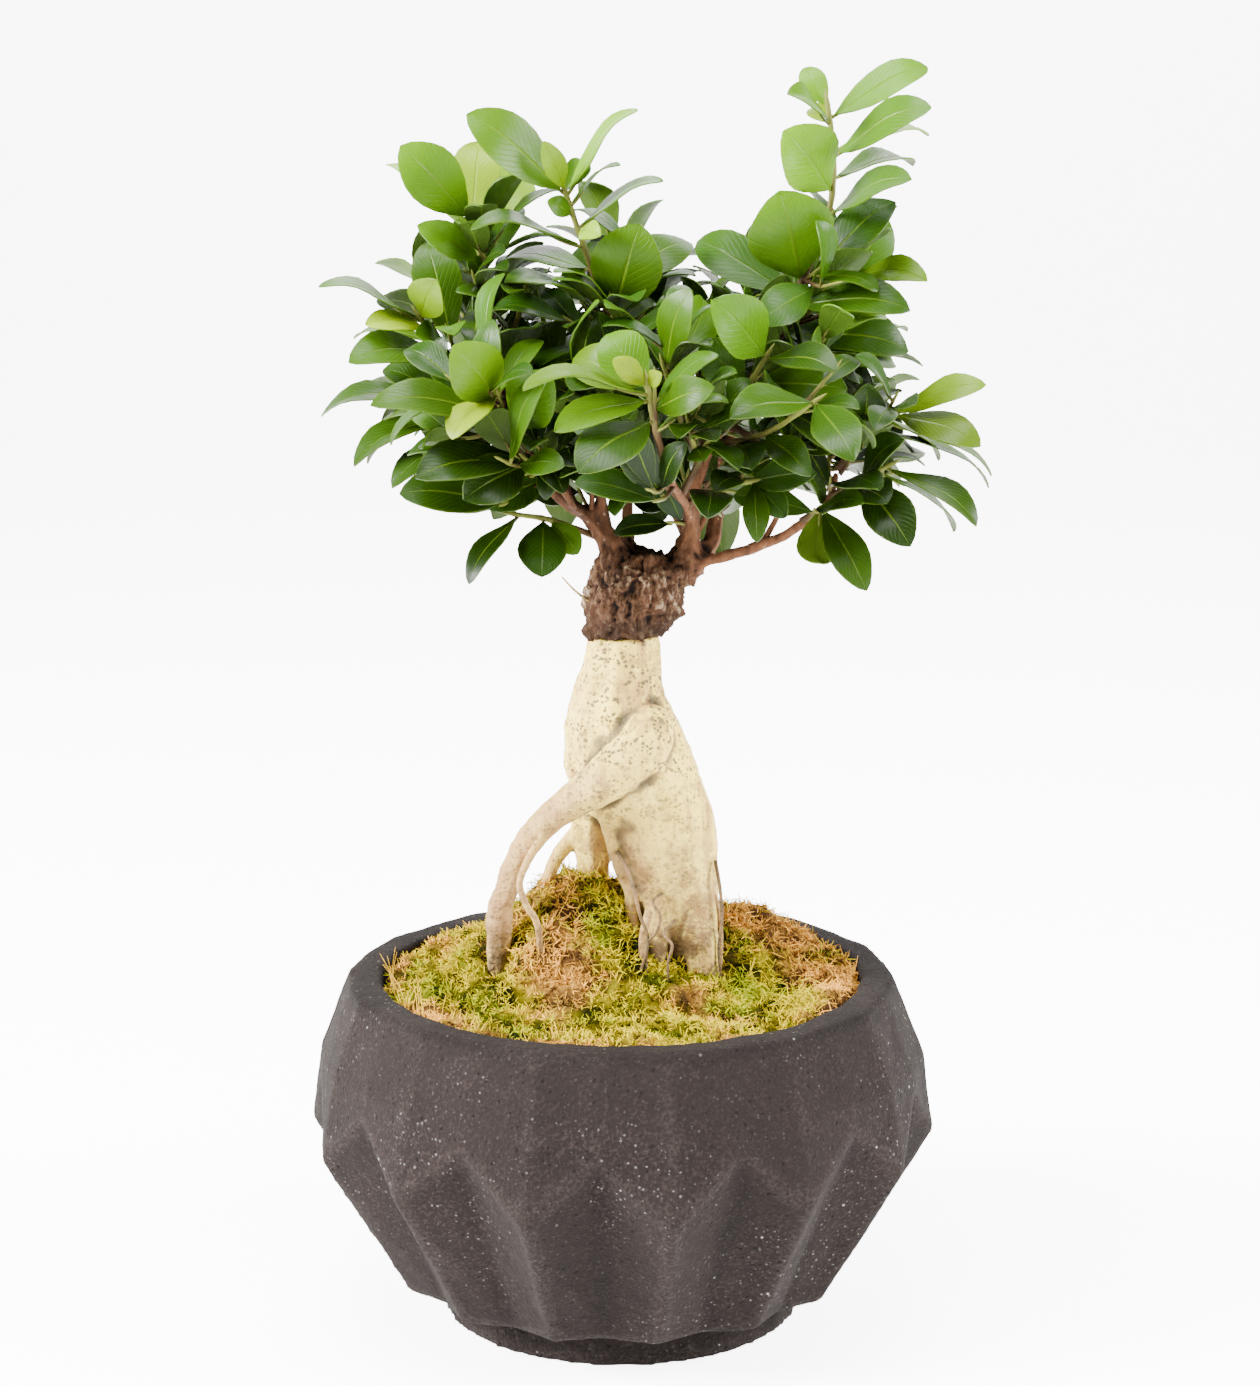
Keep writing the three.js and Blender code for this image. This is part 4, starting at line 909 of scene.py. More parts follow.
def root_material(settings):
    """Cream root skin: pores in level rows, pink-brown young roots, painted shade in the creases."""
    material, tree, shader = new_material("swollen_root_skin")
    place = object_place(tree)
    level = object_place(tree, (1.0, 1.0, 1.3))
    height = axes_of(tree, place)[2]
    cloud = clouded(tree, place, 42.0, 1.7)
    tone = blend(tree, cloud, settings.skin, toned(settings.skin, (0.76, 0.72, 0.8)))
    green = clouded(tree, place, 19.0, 3.0)
    tone = blend(tree, times(tree, green, 0.35), tone, (0.5, 0.42, 0.2))
    young = stored(tree, "young")
    pink = times(tree, young, spread(tree, cloud, 0.0, 1.0, 0.4, 0.95))
    tone = blend(tree, pink, tone, settings.blush)
    relief = stored(tree, "relief")
    # Painted shade: creases and the line under the crossing root are painted darker, the deepest ones with a
    # darker painted shadow
    crease_shade = times(tree, spread(tree, relief, -0.03, -0.3), 0.85)
    tone = blend(tree, crease_shade, tone, settings.fleck_and_crease_shade)
    mottle = spread(tree, fractal(tree, place, 230.0, 5.0, 0.75), 0.47, 0.66, 0.0, 0.6)
    tone = blend(tree, mottle, tone, toned(settings.skin, (0.28, 0.24, 0.6)))
    upright = object_place(tree, (1.0, 1.0, 0.25))
    streak = spread(tree, fractal(tree, upright, 130.0, 4.0, 0.7), 0.47, 0.66, 0.0, 0.8)
    tone = blend(tree, streak, tone, toned(settings.skin, (0.36, 0.27, 0.7)))
    shadow = times(tree, spread(tree, relief, -0.25, -0.6), 0.8)
    tone = blend(tree, shadow, tone, shaded(settings.fleck_and_crease_shade, 0.4))
    rough = spread(tree, fractal(tree, place, 95.0, 5.0, 0.75), 0.42, 0.6, 0.05, 0.9)
    foot = times(tree, spread(tree, height, 0.182, 0.128), rough)
    tone = blend(tree, foot, tone, (0.22, 0.12, 0.045))
    soiled = times(tree, spread(tree, height, 0.133, 0.119), rough)
    tone = blend(tree, soiled, tone, (0.07, 0.045, 0.02))
    neck = spread(tree, height, 0.15, 0.21, 0.5, 1.4)
    rows = flecked(tree, level, 430.0, 0.46, 0.42)
    dots = flecked(tree, level, 780.0, 0.66, 0.5)
    band = fractal(tree, object_place(tree, (0.3, 0.3, 1.0)), 260.0, 2.0)
    grouping = times(tree, neck, spread(tree, band, 0.4, 0.6, 0.35, 1.0))
    specks = spread(tree, calculate(tree, "MAXIMUM", rows, dots), 0.05, 0.55)
    marks = times(tree, specks, grouping, clamp=True)
    tone = blend(tree, times(tree, marks, 0.9), tone, settings.fleck_and_crease_shade)
    tree.links.new(tone, shader["Base Color"])
    fine = fractal(tree, place, 520.0, 3.0)
    tree.links.new(spread(tree, fine, 0.3, 0.7, 0.5, 0.68), shader["Roughness"])
    shader["Specular IOR Level"].default_value = 0.15
    folds = fractal(tree, object_place(tree, (0.3, 0.3, 1.0)), 420.0, 2.0)
    wrinkles = times(tree, plus(tree, folds, rough), 0.6)
    raised = plus(tree, wrinkles, plus(tree, fine, marks))
    tree.links.new(bump(tree, raised, 0.0006, 0.8), shader["Normal"])
    return material


def bark_material(settings):
    """Craggy bark on the stump with painted shade in its clefts, and smooth reddish limbs with pale pores,
    painted darker on the left.
    """
    material, tree, shader = new_material("grafted_bark")
    place = object_place(tree)
    relief = stored(tree, "relief")
    stump = stored(tree, "stump")
    upright = object_place(tree, (1.0, 1.0, 0.3))
    streaks = fractal(tree, upright, 420.0, 4.0, 0.65)
    cloud = clouded(tree, place, 90.0, 2.2)
    grain = fractal(tree, object_place(tree, (1.0, 1.0, 0.5)), 560.0, 5.0, 0.75)
    light = spread(tree, grain, 0.42, 0.6)
    rough = blend(tree, light, shaded(settings.bark, 0.45), shaded(settings.bark, 2.1))
    ruddy = clouded(tree, place, 70.0, 3.5)
    rough = blend(tree, times(tree, ruddy, 0.5), rough, shaded(settings.limb, 0.75))
    flakes = times(tree, spread(tree, grain, 0.48, 0.62), spread(tree, relief, -0.2, 0.6))
    flakes = times(tree, flakes, spread(tree, cloud, 0.3, 0.8))
    rough = blend(tree, flakes, rough, settings.scale)
    along, _, height = axes_of(tree, place)
    band = times(tree, spread(tree, height, *BARK_BAND), spread(tree, cloud, 0.1, 0.7, 0.3, 0.8))
    rough = blend(tree, band, rough, shaded(settings.bark, 0.35))
    light = spread(tree, streaks, 0.3, 0.7)
    smooth = blend(tree, light, shaded(settings.limb, 0.65), shaded(settings.limb, 1.45))
    pores = flecked(tree, place, 560.0, 0.3, 0.25)
    smooth = blend(tree, pores, smooth, shaded(settings.scale, 1.1))
    # Painted shade: the limbs on the left, in the shade of the leaves, are painted darker in patches
    left = spread(tree, along, 0.008, -0.012, 0.0, 0.5)
    shade = times(tree, left, spread(tree, cloud, 0.0, 0.7, 0.6, 1.0))
    smooth = blend(tree, shade, smooth, settings.cleft_shade)
    tone = blend(tree, stump, smooth, rough)
    # Painted shade: the clefts are painted near black
    deep = spread(tree, relief, 0.0, -0.6)
    tone = blend(tree, deep, tone, settings.cleft_shade)
    tree.links.new(tone, shader["Base Color"])
    shader["Specular IOR Level"].default_value = 0.12
    shader["Roughness"].default_value = 0.86
    raised = plus(tree, streaks, times(tree, grain, stump))
    tree.links.new(bump(tree, raised, 0.0009, 0.9), shader["Normal"])
    return material


def leaf_material(settings):
    """Leaf skin: green by age, pale midrib, faint side veins, glossy above and matt below, painted lighter
    high in the crown and darker low in it.
    """
    material, tree, shader = new_material("fig_leaf")
    growth = add(tree, "ShaderNodeSeparateColor", {0: stored(tree, "growth", "Color")}).outputs
    age, chance, part = growth
    blade = add(tree, "ShaderNodeUVMap", uv_map="blade").outputs[0]
    veins = grouped(tree, "veins", {"UV": blade})
    place = object_place(tree)
    tone = blend(tree, spread(tree, age, 0.0, 0.42), settings.old, settings.grown)
    tone = blend(tree, spread(tree, age, 0.38, 0.82), tone, settings.young)
    tone = blend(tree, spread(tree, age, 0.82, 1.0), tone, settings.fresh)
    cloud = clouded(tree, place, 60.0, 1.3)
    level = plus(tree, spread(tree, chance, 0.0, 1.0, 0.5, 1.2), times(tree, cloud, 0.3))
    # Painted light and shade: leaves high in the crown are painted lighter and low ones darker
    height = axes_of(tree, place)[2]
    level = times(tree, level, spread(tree, height, 0.275, 0.365, 0.52, 1.36))
    tone = scaled(tree, tone, level)
    tone = blend(tree, times(tree, veins["Side veins"], 0.05), tone, settings.vein)
    midrib = times(tree, veins["Midrib"], spread(tree, chance, 0.0, 1.0, 0.75, 0.3))
    pale = calculate(tree, "MAXIMUM", midrib, times(tree, veins["Margin"], 0.16))
    tone = blend(tree, pale, tone, settings.vein)
    lower = spread(tree, part, 0.2, 0.4)
    beneath = blend(tree, times(tree, veins["Midrib"], 0.6), settings.underside, settings.vein)
    beneath = blend(tree, spread(tree, age, 0.4, 1.0, 0.0, 0.75), beneath, settings.young)
    tone = blend(tree, lower, tone, beneath)
    stalk = spread(tree, part, 0.7, 0.9)
    woody = blend(tree, spread(tree, age, 0.25, 0.55), settings.bark, settings.stem)
    tone = blend(tree, stalk, tone, woody)
    tree.links.new(tone, shader["Base Color"])
    fine = fractal(tree, place, 700.0, 2.0)
    gloss = plus(tree, times(tree, fine, 0.16), spread(tree, part, 0.2, 0.4, 0.27, 0.5))
    tree.links.new(gloss, shader["Roughness"])
    shader["Specular IOR Level"].default_value = 0.13
    ribs = plus(tree, times(tree, veins["Side veins"], 0.3), veins["Midrib"])
    raised = plus(tree, times(tree, fine, 0.25), times(tree, ribs, -0.8))
    tree.links.new(bump(tree, raised, 0.00035, 0.6), shader["Normal"])
    return material


def moss_material(settings):
    """Moss: painted shade deep between the sprigs, painted lit and shaded colours, and paler tips that are
    partly a painted highlight, tinted by each sprig's own attributes.
    """
    material, tree, shader = new_material("moss")
    place = object_place(tree)
    tint = stored(tree, "tint")
    dry = stored(tree, "dry")
    reach = stored(tree, "reach")
    cloud = clouded(tree, place, 75.0, 1.8)
    # Painted light and shade: level picks between the shaded and the lit moss colours, and between rust and
    # straw for dry moss
    level = plus(tree, times(tree, cloud, 0.3), calculate(tree, "SUBTRACT", tint, 0.1), True)
    level = spread(tree, level, 0.12, 0.9)
    fresh = blend(tree, level, settings.shade, settings.lit)
    # Partly the tips' own paler colour and partly a painted highlight: outer tips of lit sprigs are painted
    # paler
    fresh = blend(tree, times(tree, spread(tree, reach, 0.5, 1.0), level), fresh, settings.tip)
    hue = spread(tree, fractal(tree, place, 70.0, 4.0, 0.65), 0.46, 0.6, 0.0, 0.85)
    fresh = blend(tree, hue, fresh, settings.deep, "MULTIPLY")
    brown = blend(tree, level, settings.rust, settings.straw)
    tone = blend(tree, dry, fresh, brown)
    # Painted shade: each strand is painted darker towards its foot, and the cushion under the tufts darker
    # still
    deep = spread(tree, reach, 0.0, 0.6, 0.22, 1.0)
    tone = scaled(tree, tone, deep)
    tree.links.new(tone, shader["Base Color"])
    shader["Roughness"].default_value = 0.9
    shader["Specular IOR Level"].default_value = 0.05
    crumb = fractal(tree, place, 650.0, 4.0, 0.7)
    tree.links.new(bump(tree, crumb, 0.0012), shader["Normal"])
    return material


# Bowl, soil, roots and wood

def wander(place, width):
    """Soft noise from -1 to 1 with swells of a given width in metres."""
    return noise.fractal(place / width, 1.0, 2.0, 3)


def in_steps(place, steps):
    """A place measured along each axis in a step of its own."""
    return Vector([part / step for part, step in zip(place, steps)])


NOISE_SHIFTS = (Vector((9.3, -1.5, -8.0)), Vector((0.0, 0.0, 0.0)), Vector((6.3, 0.2, -2.7)))


def noise_shift(place):
    """A vector of three soft noises from -1 to 1, the same in every run."""
    return Vector([noise.noise(place + apart) for apart in NOISE_SHIFTS])


class BONSAI_OT_bowl(Operator):
    """Build the fluted concrete bowl with softened folds and a cast surface."""

    bl_idname = "bonsai.bowl"
    bl_label = "Bowl"

    def execute(self, context):
        settings = context.scene.bonsai_bowl
        mesh = remeshed(node_copy("pot"), "pot", settings.cell, rounds=2)

        def height(place, way):
            return settings.unevenness * (wander(place, 0.02) + 0.2 * wander(place, 0.004))

        push_out(mesh, height)
        for vertex in mesh.vertices:
            vertex.co.z = max(vertex.co.z, 0)
        store_relief(mesh, rounds=15, reach=0.0005)
        finish_piece("fluted_bowl", mesh, concrete_material(settings), ["pot"])
        return {"FINISHED"}


class BONSAI_OT_soil(Operator):
    """Finish the potting soil under the moss."""

    bl_idname = "bonsai.soil"
    bl_label = "Soil"

    def execute(self, context):
        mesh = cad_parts["soil"].data
        mesh.materials.clear()
        mesh.materials.append(soil_material())
        return {"FINISHED"}


# Two points on the trunk's middle line
TRUNK_LOW = Vector((0.018, 0.004, 0.1))
TRUNK_HIGH = Vector((0.002, 0.002, 0.225))
# The front root as it crosses the trunk, and a small root behind it: x, y, z and radius
CROSSING_ROOT = (
    (11, -8, 198, 5), (9, -13, 193.5, 8), (5, -16, 187.5, 8.8), (-2.7, -19, 180.6, 7.6),
    (-9.6, -19.5, 175.8, 6.6), (-21.8, -17.5, 166.6, 5), (-29.5, -16, 157.5, 4.3), (-34, -15, 149, 4),
)
BACK_ROOT = (
    (-8, 10, 157, 3.4), (-14.8, 8, 153.3, 3), (-19.6, 6, 149, 2.6), (-23.4, 4, 141, 2.3), (-25, 3, 120, 2),
)
# Thin pale roots, and ones in front of the openings between the legs that are painted dark with shade
HAIR_ROOTS = (
    ((-9, -4, 232, 0.5), (-14.3, -6, 236.4, 0.4), (-18.3, -8, 241.1, 0.25)),
    (
        (-24, -20, 163, 1.3), (-30.3, -21, 150.6, 1.2), (-31.6, -22, 145.7, 1.1), (-29.7, -23, 139.7, 1.1),
        (-26.5, -22, 133.8, 1.1), (-24.9, -20, 118, 1),
    ),
    ((27, -6, 143, 1), (30.5, -7.5, 136, 0.9), (31.8, -8, 127, 0.8), (31.5, -8, 112, 0.8)),
    ((9, -17, 136, 1.4), (7, -19, 128, 1.3), (7, -18, 116, 1.1)),
    ((-1, 15, 150, 1.6), (-7, 20, 138, 1.4), (-9, 22, 112, 1.2)),
    ((20, 12, 140, 1.5), (25, 18, 128, 1.3), (27, 21, 110, 1.1)),
)
DARK_ROOTLETS = (
    (
        (-1, -12, 154, 0.7), (2, -16, 149, 0.7), (4.2, -19, 143, 0.6), (6, -21, 135.7, 0.6),
        (8.6, -22, 127.8, 0.5), (6, -23, 117, 0.4),
    ),
    (
        (14, -12, 141, 0.5), (10, -20, 139.5, 0.5), (12.3, -22, 135.9, 0.5), (11.4, -23, 131, 0.45),
        (8.6, -22, 127, 0.4), (8, -22, 116, 0.4),
    ),
    (
        (17, -18, 133, 0.5), (13.6, -24, 130.3, 0.5), (16.1, -26, 127.3, 0.5), (14.8, -27, 122, 0.4),
        (15, -27, 114, 0.4),
    ),
    (
        (30, -8, 150, 0.6), (31.5, -11, 141, 0.6), (32, -12, 131, 0.6), (31, -13, 122, 0.5),
        (32, -13, 112, 0.4),
    ),
)
# The darker ones carry the painted shade and shadow of deep creases
ROOTLET_SHADE_RELIEF = -0.6
# The skin turns pink past this distance from the trunk's middle line, over this width
SKIN_EDGE = 0.026
SKIN_BLEND = 0.012
# The small pink root in front: its middle and how far the pink reaches
SMALL_ROOT = Vector((-0.002, -0.012, 0.146))
SMALL_ROOT_REACH = 0.026
# The level rings: their noise steps, where the neck begins, over what height they grow, and the least
RING_STEPS = (0.03, 0.03, 0.0022)
NECK_START = 0.15
NECK_RUN = 0.06
NECK_LEAST = 0.25


def off_trunk(place):
    """Distance from the middle line of the trunk."""
    run = TRUNK_HIGH - TRUNK_LOW
    share = (place - TRUNK_LOW).dot(run) / run.length_squared
    return (place - TRUNK_LOW - run * share).length


def youth(place):
    """How pink a root's skin is: the more, the further from the trunk, and on the small root in front."""
    small = 1 - (place - SMALL_ROOT).length / SMALL_ROOT_REACH
    return kept(max((off_trunk(place) - SKIN_EDGE) / SKIN_BLEND, small))


def add_run(bm, run, sides, steps=5):
    """Adds a smooth tube through a run of (x, y, z, radius) rows in millimetres."""
    count = steps * (len(run) - 1)
    rows = [curve_point(run, i / count) for i in range(count + 1)]
    return add_tube(bm, [Vector(row[:3]) * MM for row in rows], [row[3] * MM for row in rows], sides)


def runs_mesh(name, runs, steps=5):
    """A mesh of thin tubes, one through each run."""
    bm = bmesh.new()
    for run in runs:
        add_run(bm, run, 7, steps)
    return closed_mesh(bm, name)


class BONSAI_OT_rootstock(Operator):
    """Build the swollen roots with dents, level rings at the neck and a speckled skin."""

    bl_idname = "bonsai.rootstock"
    bl_label = "Rootstock"

    def execute(self, context):
        settings = context.scene.bonsai_roots
        bm = node_copy("rootstock")
        for run in (CROSSING_ROOT, BACK_ROOT):
            add_run(bm, run, 16)
        bmesh.ops.recalc_face_normals(bm, faces=bm.faces)
        mesh = remeshed(bm, "rootstock", settings.cell, rounds=6)

        def height(place, way):
            rings = noise.noise(in_steps(place, RING_STEPS))
            neck = kept((place.z - NECK_START) / NECK_RUN, NECK_LEAST)
            dents = wander(place, 0.014) + 0.35 * wander(place, 0.004)
            return settings.swelling * (dents + 0.3 * neck * rings)

        push_out(mesh, height)
        store_relief(mesh, rounds=30, reach=0.0014)
        store_value(mesh, "young", [youth(vertex.co) for vertex in mesh.vertices])
        material = root_material(settings)
        finish_piece("swollen_roots", mesh, material, ["rootstock"])
        # The dark rootlets get a deep relief, so the skin paints them with the painted crease shade
        thin_roots = (("hair_roots", HAIR_ROOTS, 0.0), ("dark_rootlets", DARK_ROOTLETS, ROOTLET_SHADE_RELIEF))
        for name, runs, relief in thin_roots:
            hairs = runs_mesh(name, runs, 6)
            store_even(hairs, young=1.0, relief=relief)
            finish_piece(name, hairs, material)
        return {"FINISHED"}


# The craggy stump: where it ends upwards and over what height, its middle, and how far out it begins to end
STUMP_TOP = 0.25
STUMP_BLEND = 0.012
STUMP_MIDDLE = (0.005, 0.001)
STUMP_WIDE = (0.0175, 0.0215)
# How far in a limb's skin moves: a share of its radius, less what a thin limb keeps, up to the most
LIMB_THINNING = 0.5
LIMB_KEPT = 0.0003
LIMB_MOST = 0.0026
RAY_START = 0.0002
# The bark's clefts: their noise steps, how far they wander aside, and the level where they begin
CLEFT_STEPS = (0.0036, 0.0036, 0.007)
CLEFT_BEND = 0.0022
CLEFT_LEVEL = 1.2
# Thin bare twigs between the limbs: x, y, z and radius
BARE_TWIGS = (
    ((-2, 0, 246, 1.4), (-5, 2, 262, 1), (-8, 3, 276, 0.8), (-9, 4, 290, 0.6)),
    ((3, 4, 246, 1.2), (3, 6, 264, 0.9), (5, 8, 280, 0.7), (4, 9, 294, 0.5)),
    ((-6, 1, 250, 1.2), (-14, 5, 262, 0.9), (-20, 6, 276, 0.7), (-23, 8, 286, 0.5)),
    ((-10, -2, 256, 1.1), (-9, -6, 268, 0.8), (-13, -9, 282, 0.6)),
    ((22, 4, 250, 1.3), (28, 2, 262, 1), (31, -2, 276, 0.8), (29, -4, 288, 0.6)),
    ((20, 3, 252, 1.1), (14, 6, 266, 0.9), (12, 9, 280, 0.6)),
    ((44, -6, 251, 1.1), (50, -4, 262, 0.8), (54, -5, 274, 0.6)),
)


def stump_share(place):
    """How much a point belongs to the craggy stump: 1 on it, 0 on the limbs."""
    lower = kept((STUMP_TOP - place.z) / STUMP_BLEND + 0.5)
    near, far = STUMP_WIDE
    off = math.hypot(place.x - STUMP_MIDDLE[0], place.y - STUMP_MIDDLE[1])
    return lower * kept((far - off) / (far - near))


def thinned(mesh):
    """How far in each point of a limb moves, by the limb's thickness there."""
    tree = BVHTree.FromPolygons([v.co for v in mesh.vertices], [p.vertices for p in mesh.polygons])
    moves = []
    for vertex in mesh.vertices:
        _, _, _, across = tree.ray_cast(vertex.co - vertex.normal * RAY_START, -vertex.normal)
        radius = 0.5 * (across or 0)
        move = kept(LIMB_THINNING * radius - LIMB_KEPT, high=LIMB_MOST)
        moves.append(move * (1 - stump_share(vertex.co)))
    return moves


class BONSAI_OT_scion(Operator):
    """Build the grafted stump with craggy bark, and its smooth limbs."""

    bl_idname = "bonsai.scion"
    bl_label = "Grafted wood"

    def execute(self, context):
        settings = context.scene.bonsai_wood
        mesh = remeshed(node_copy("scion_wood"), "scion_wood", settings.cell, rounds=4)
        stump = [stump_share(vertex.co) for vertex in mesh.vertices]
        inward = softened(mesh, np.array(thinned(mesh))[:, None], rounds=12)
        place = read_points(mesh, "co") - read_points(mesh, "normal") * inward
        limb = 1 - np.array(stump)[:, None]
        place += (softened(mesh, place, rounds=6) - place) * limb
        mesh.vertices.foreach_set("co", place.ravel())
        mesh.update()

        def height(place, way):
            craggy = stump_share(place)
            bent = place + noise_shift(place / 0.006) * CLEFT_BEND
            upright = in_steps(bent, CLEFT_STEPS)
            clefts = noise.ridged_multi_fractal(upright, 0.9, 2.2, 4, 1.0, 2.0) - CLEFT_LEVEL
            scales = noise.noise(place / 0.0065) + 0.9 * noise.noise(bent / 0.0016)
            stump_part = settings.relief * (0.45 * scales - 0.6 * clefts)
            limb_part = 0.0003 * wander(place, 0.005)
            return craggy * stump_part + (1 - craggy) * limb_part

        push_out(mesh, height)
        store_relief(mesh, rounds=14, reach=0.0013)
        store_value(mesh, "stump", stump)
        material = bark_material(settings)
        finish_piece("grafted_wood", mesh, material, ["scion_wood"])
        twigs = runs_mesh("bare_twigs", BARE_TWIGS)
        store_even(twigs, relief=0.0, stump=0.0)
        finish_piece(twigs.name, twigs, material)
        return {"FINISHED"}


# Leaves

# Faces across and along a blade
ACROSS = 4
ALONG = 9
# What is stored for a blade's upper side, for its under side and for a stalk or stem
UPPER, UNDER, STALK = 0.0, 0.3, 1.0
RIM_ANGLE = math.radians(50)
# Where a blade is widest, and how wide half of it is at its ends in millimetres
WIDEST = 0.6
LEAST_HALF = 0.2
BLADE_START = 0.05
# 1 over the most that run * run * (1 - run) reaches
BOW_SCALE = 6.75
# How steeply a blade folds up, how far its sides roll down, and the waves of its edge
FOLD = (0.14, 0.42)
ROLL = (0.08, 0.22)
WAVE = (0.0, 0.05)
WAVES = 9
STALK_RUNS = (0, 0.07, 0.14, 0.22, 0.3)
STALK_RADII = (0.0007, 0.00055, 0.0005, 0.0004, 0.0002)
# How far a stalk lies under the blade in millimetres, at its foot and more along the leaf
STALK_DROP = (0.5, 0.2)
# Radii of stems in metres, how a stem narrows and thickens, and the steps of its bud
STEM_THICK = 0.0012
TWIG_THICK = 0.0008
STEM_TAPER = 0.6
NODE_SWELL = 0.18
BUD_REACH = (1.0, 2.6, 4.2)
BUD_GIRTH = (0.62, 0.4, 0.06)


def blade_half(width, share):
    """Half width of a blade at a share of its length: a wedge, widest beyond the middle, with a blunt tip."""
    if share < WIDEST:
        full = math.sin(math.pi / 2 * share / WIDEST) ** 0.95
    else:
        full = math.cos(math.pi / 2 * (share - WIDEST) / (1 - WIDEST)) ** 0.62
    return width * 0.5 * full + LEAST_HALF


def bow(length, run):
    """How far a leaf's middle line stands up from the straight line between its ends."""
    return BOW * length * BOW_SCALE * run * run * (1 - run)


def add_leaf(bm, layer, leaf, thickness, chance):
    """Adds one leaf in metres: a bowed blade folded along its midrib, its edge closed, and its stalk."""
    axis, side, up = leaf_axes(leaf)
    length = np.linalg.norm(axis)
    fold = chance.uniform(*FOLD)
    roll = chance.uniform(*ROLL)
    wave = chance.uniform(*WAVE) * leaf["width"]
    phase = chance.uniform(0, math.tau)
    tint = chance.random()
    grid = bmesh.ops.create_grid(bm, x_segments=ACROSS, y_segments=ALONG, size=1, calc_uvs=True)["verts"]
    for vert in grid:
        across = vert.co.x
        even = vert.co.y / 2 + 0.5
        share = mix(even, math.sin(math.pi / 2 * even), 0.75)
        run = mix(BLADE_START, 1, share)
        half = blade_half(leaf["width"], share)
        lift = bow(length, run)
        lift += half * (fold * abs(across) - roll * across ** 2)
        lift += wave * across ** 2 * math.sin(share * WAVES + phase + across)
        place = leaf["base"] + axis * run + up * lift + side * (across * half)
        vert.co = Vector(place) * MM
    faces = list({face for vert in grid for face in vert.link_faces})
    bmesh.ops.recalc_face_normals(bm, faces=faces)
    made = bmesh.ops.solidify(bm, geom=faces, thickness=thickness)["geom"]
    whole = {*grid, *picked(made, bmesh.types.BMVert)}
    shell = list({face for vert in whole for face in vert.link_faces})
    bmesh.ops.recalc_face_normals(bm, faces=shell)
    level = Vector(up)
    for vert in whole:
        vert.normal_update()
    for vert in whole:
        vert[layer] = (leaf["age"], tint, UPPER if vert.normal.dot(level) > 0 else UNDER, 1)
    for edge in {edge for face in shell for edge in face.edges}:
        edge.smooth = edge.calc_face_angle(0) < RIM_ANGLE
    add_stalk(bm, layer, leaf, axis, up, length, tint)


def add_stalk(bm, layer, leaf, axis, up, length, tint):
    """Adds the stalk that runs from the stem to just under the blade."""
    points = []
    for run in STALK_RUNS:
        lift = bow(length, run) - STALK_DROP[0] - STALK_DROP[1] * run
        points.append(Vector(leaf["base"] + axis * run + up * lift) * MM)
    for ring in add_tube(bm, points, STALK_RADII, 5):
        for vert in ring:
            vert[layer] = (0.3 + leaf["age"], tint, STALK, 1)


def add_stem(bm, layer, stem, leaves, thick):
    """Adds a shoot's stem: tapered to a bud, a little thicker where a leaf leaves it."""
    count = 4 * len(stem) + 2
    points = [Vector(curve_point(stem, i / count)) * MM for i in range(count + 1)]
    nodes = [leaf["share"] for leaf in leaves]
    radii = []
    for i in range(count + 1):
        share = i / count
        near = min((abs(share - node) for node in nodes), default=1)
        radii.append(thick * mix(1, STEM_TAPER, share) * (1 + NODE_SWELL * (near < 0.5 / count)))
    way = (points[-1] - points[-2]).normalized()
    points += [points[-1] + way * thick * by for by in BUD_REACH]
    radii += [thick * by for by in BUD_GIRTH]
    for i, ring in enumerate(add_tube(bm, points, radii, 8)):
        for vert in ring:
            vert[layer] = (0.12 + 0.5 * i / count, 0.5, STALK, 1)


def leafy_mesh(name, stem, leaves, thickness, thick, chance):
    """The mesh of one shoot: its stem and its leaves, with their growth stored as a colour."""
    bm = bmesh.new()
    bm.loops.layers.uv.new("blade")
    layer = bm.verts.layers.float_color.new("growth")
    add_stem(bm, layer, stem, leaves, thick)
    for leaf in leaves:
        add_leaf(bm, layer, leaf, thickness, chance)
    return closed_mesh(bm, name)


CROWN = crown_layout()

# Where leaves stand close: middle and half sizes of each cloud of them, in millimetres
CLOUDS = (
    ((8, 2, 299), (86, 68, 39)),
    ((-36, 0, 338), (34, 30, 34)),
    ((66, 2, 340), (26, 28, 30)),
    ((0, 30, 310), (60, 40, 38)),
    ((70, -4, 284), (32, 44, 24)),
    ((-58, -4, 284), (34, 44, 22)),
)
# The crown's floor: its height, how it sinks to the sides, where the back begins and how much lower it is
CROWN_FLOOR = 273
CROWN_SAG = 0.17
BACK_START = 6
BACK_SAG = 10
# Room left over and under a blade and round a stem
CLEAR = 0.7
COARSE_ROWS = (0.2, 0.4, 0.62, 0.84, 1.0)
STEM_ROOM = 1.6
# Inner twigs: how many starts are tried for each, how deep it sits in the bark, how it grows and its leaves
STARTS_TRIED = 22
STEM_STARTS = 16
BARK_DEPTH = 1.2
TWIG_REACH = (5, 22)
TWIG_RISE = (0.1, 0.9)
TWIG_BEND = (0, 0.25)
TWIG_LEAVES = 7
TWIG_SPREAD = (82, 38)
TWIG_SPREAD_PLAY = 10
TWIG_LENGTHS = (19, 35)
TWIG_SHAPES = (0.38, 0.48)
TWIG_AGES = (0, 0.24)


def coarse_blade(leaf):
    """Two coarse sheets a little above and below a leaf's blade: their points and faces."""
    axis, side, up = leaf_axes(leaf)
    length = np.linalg.norm(axis)
    points = []
    for shift in (-CLEAR, CLEAR):
        for run in COARSE_ROWS:
            half = blade_half(leaf["width"], (run - STALK_SHARE) / (1 - STALK_SHARE))
            middle = leaf["base"] + axis * run + up * (bow(length, run) + shift)
            points += [middle - side * half, middle + side * half]
    faces = [(i, i + 1, i + 3, i + 2) for i in (0, 2, 4, 6, 10, 12, 14, 16)]
    return points, faces


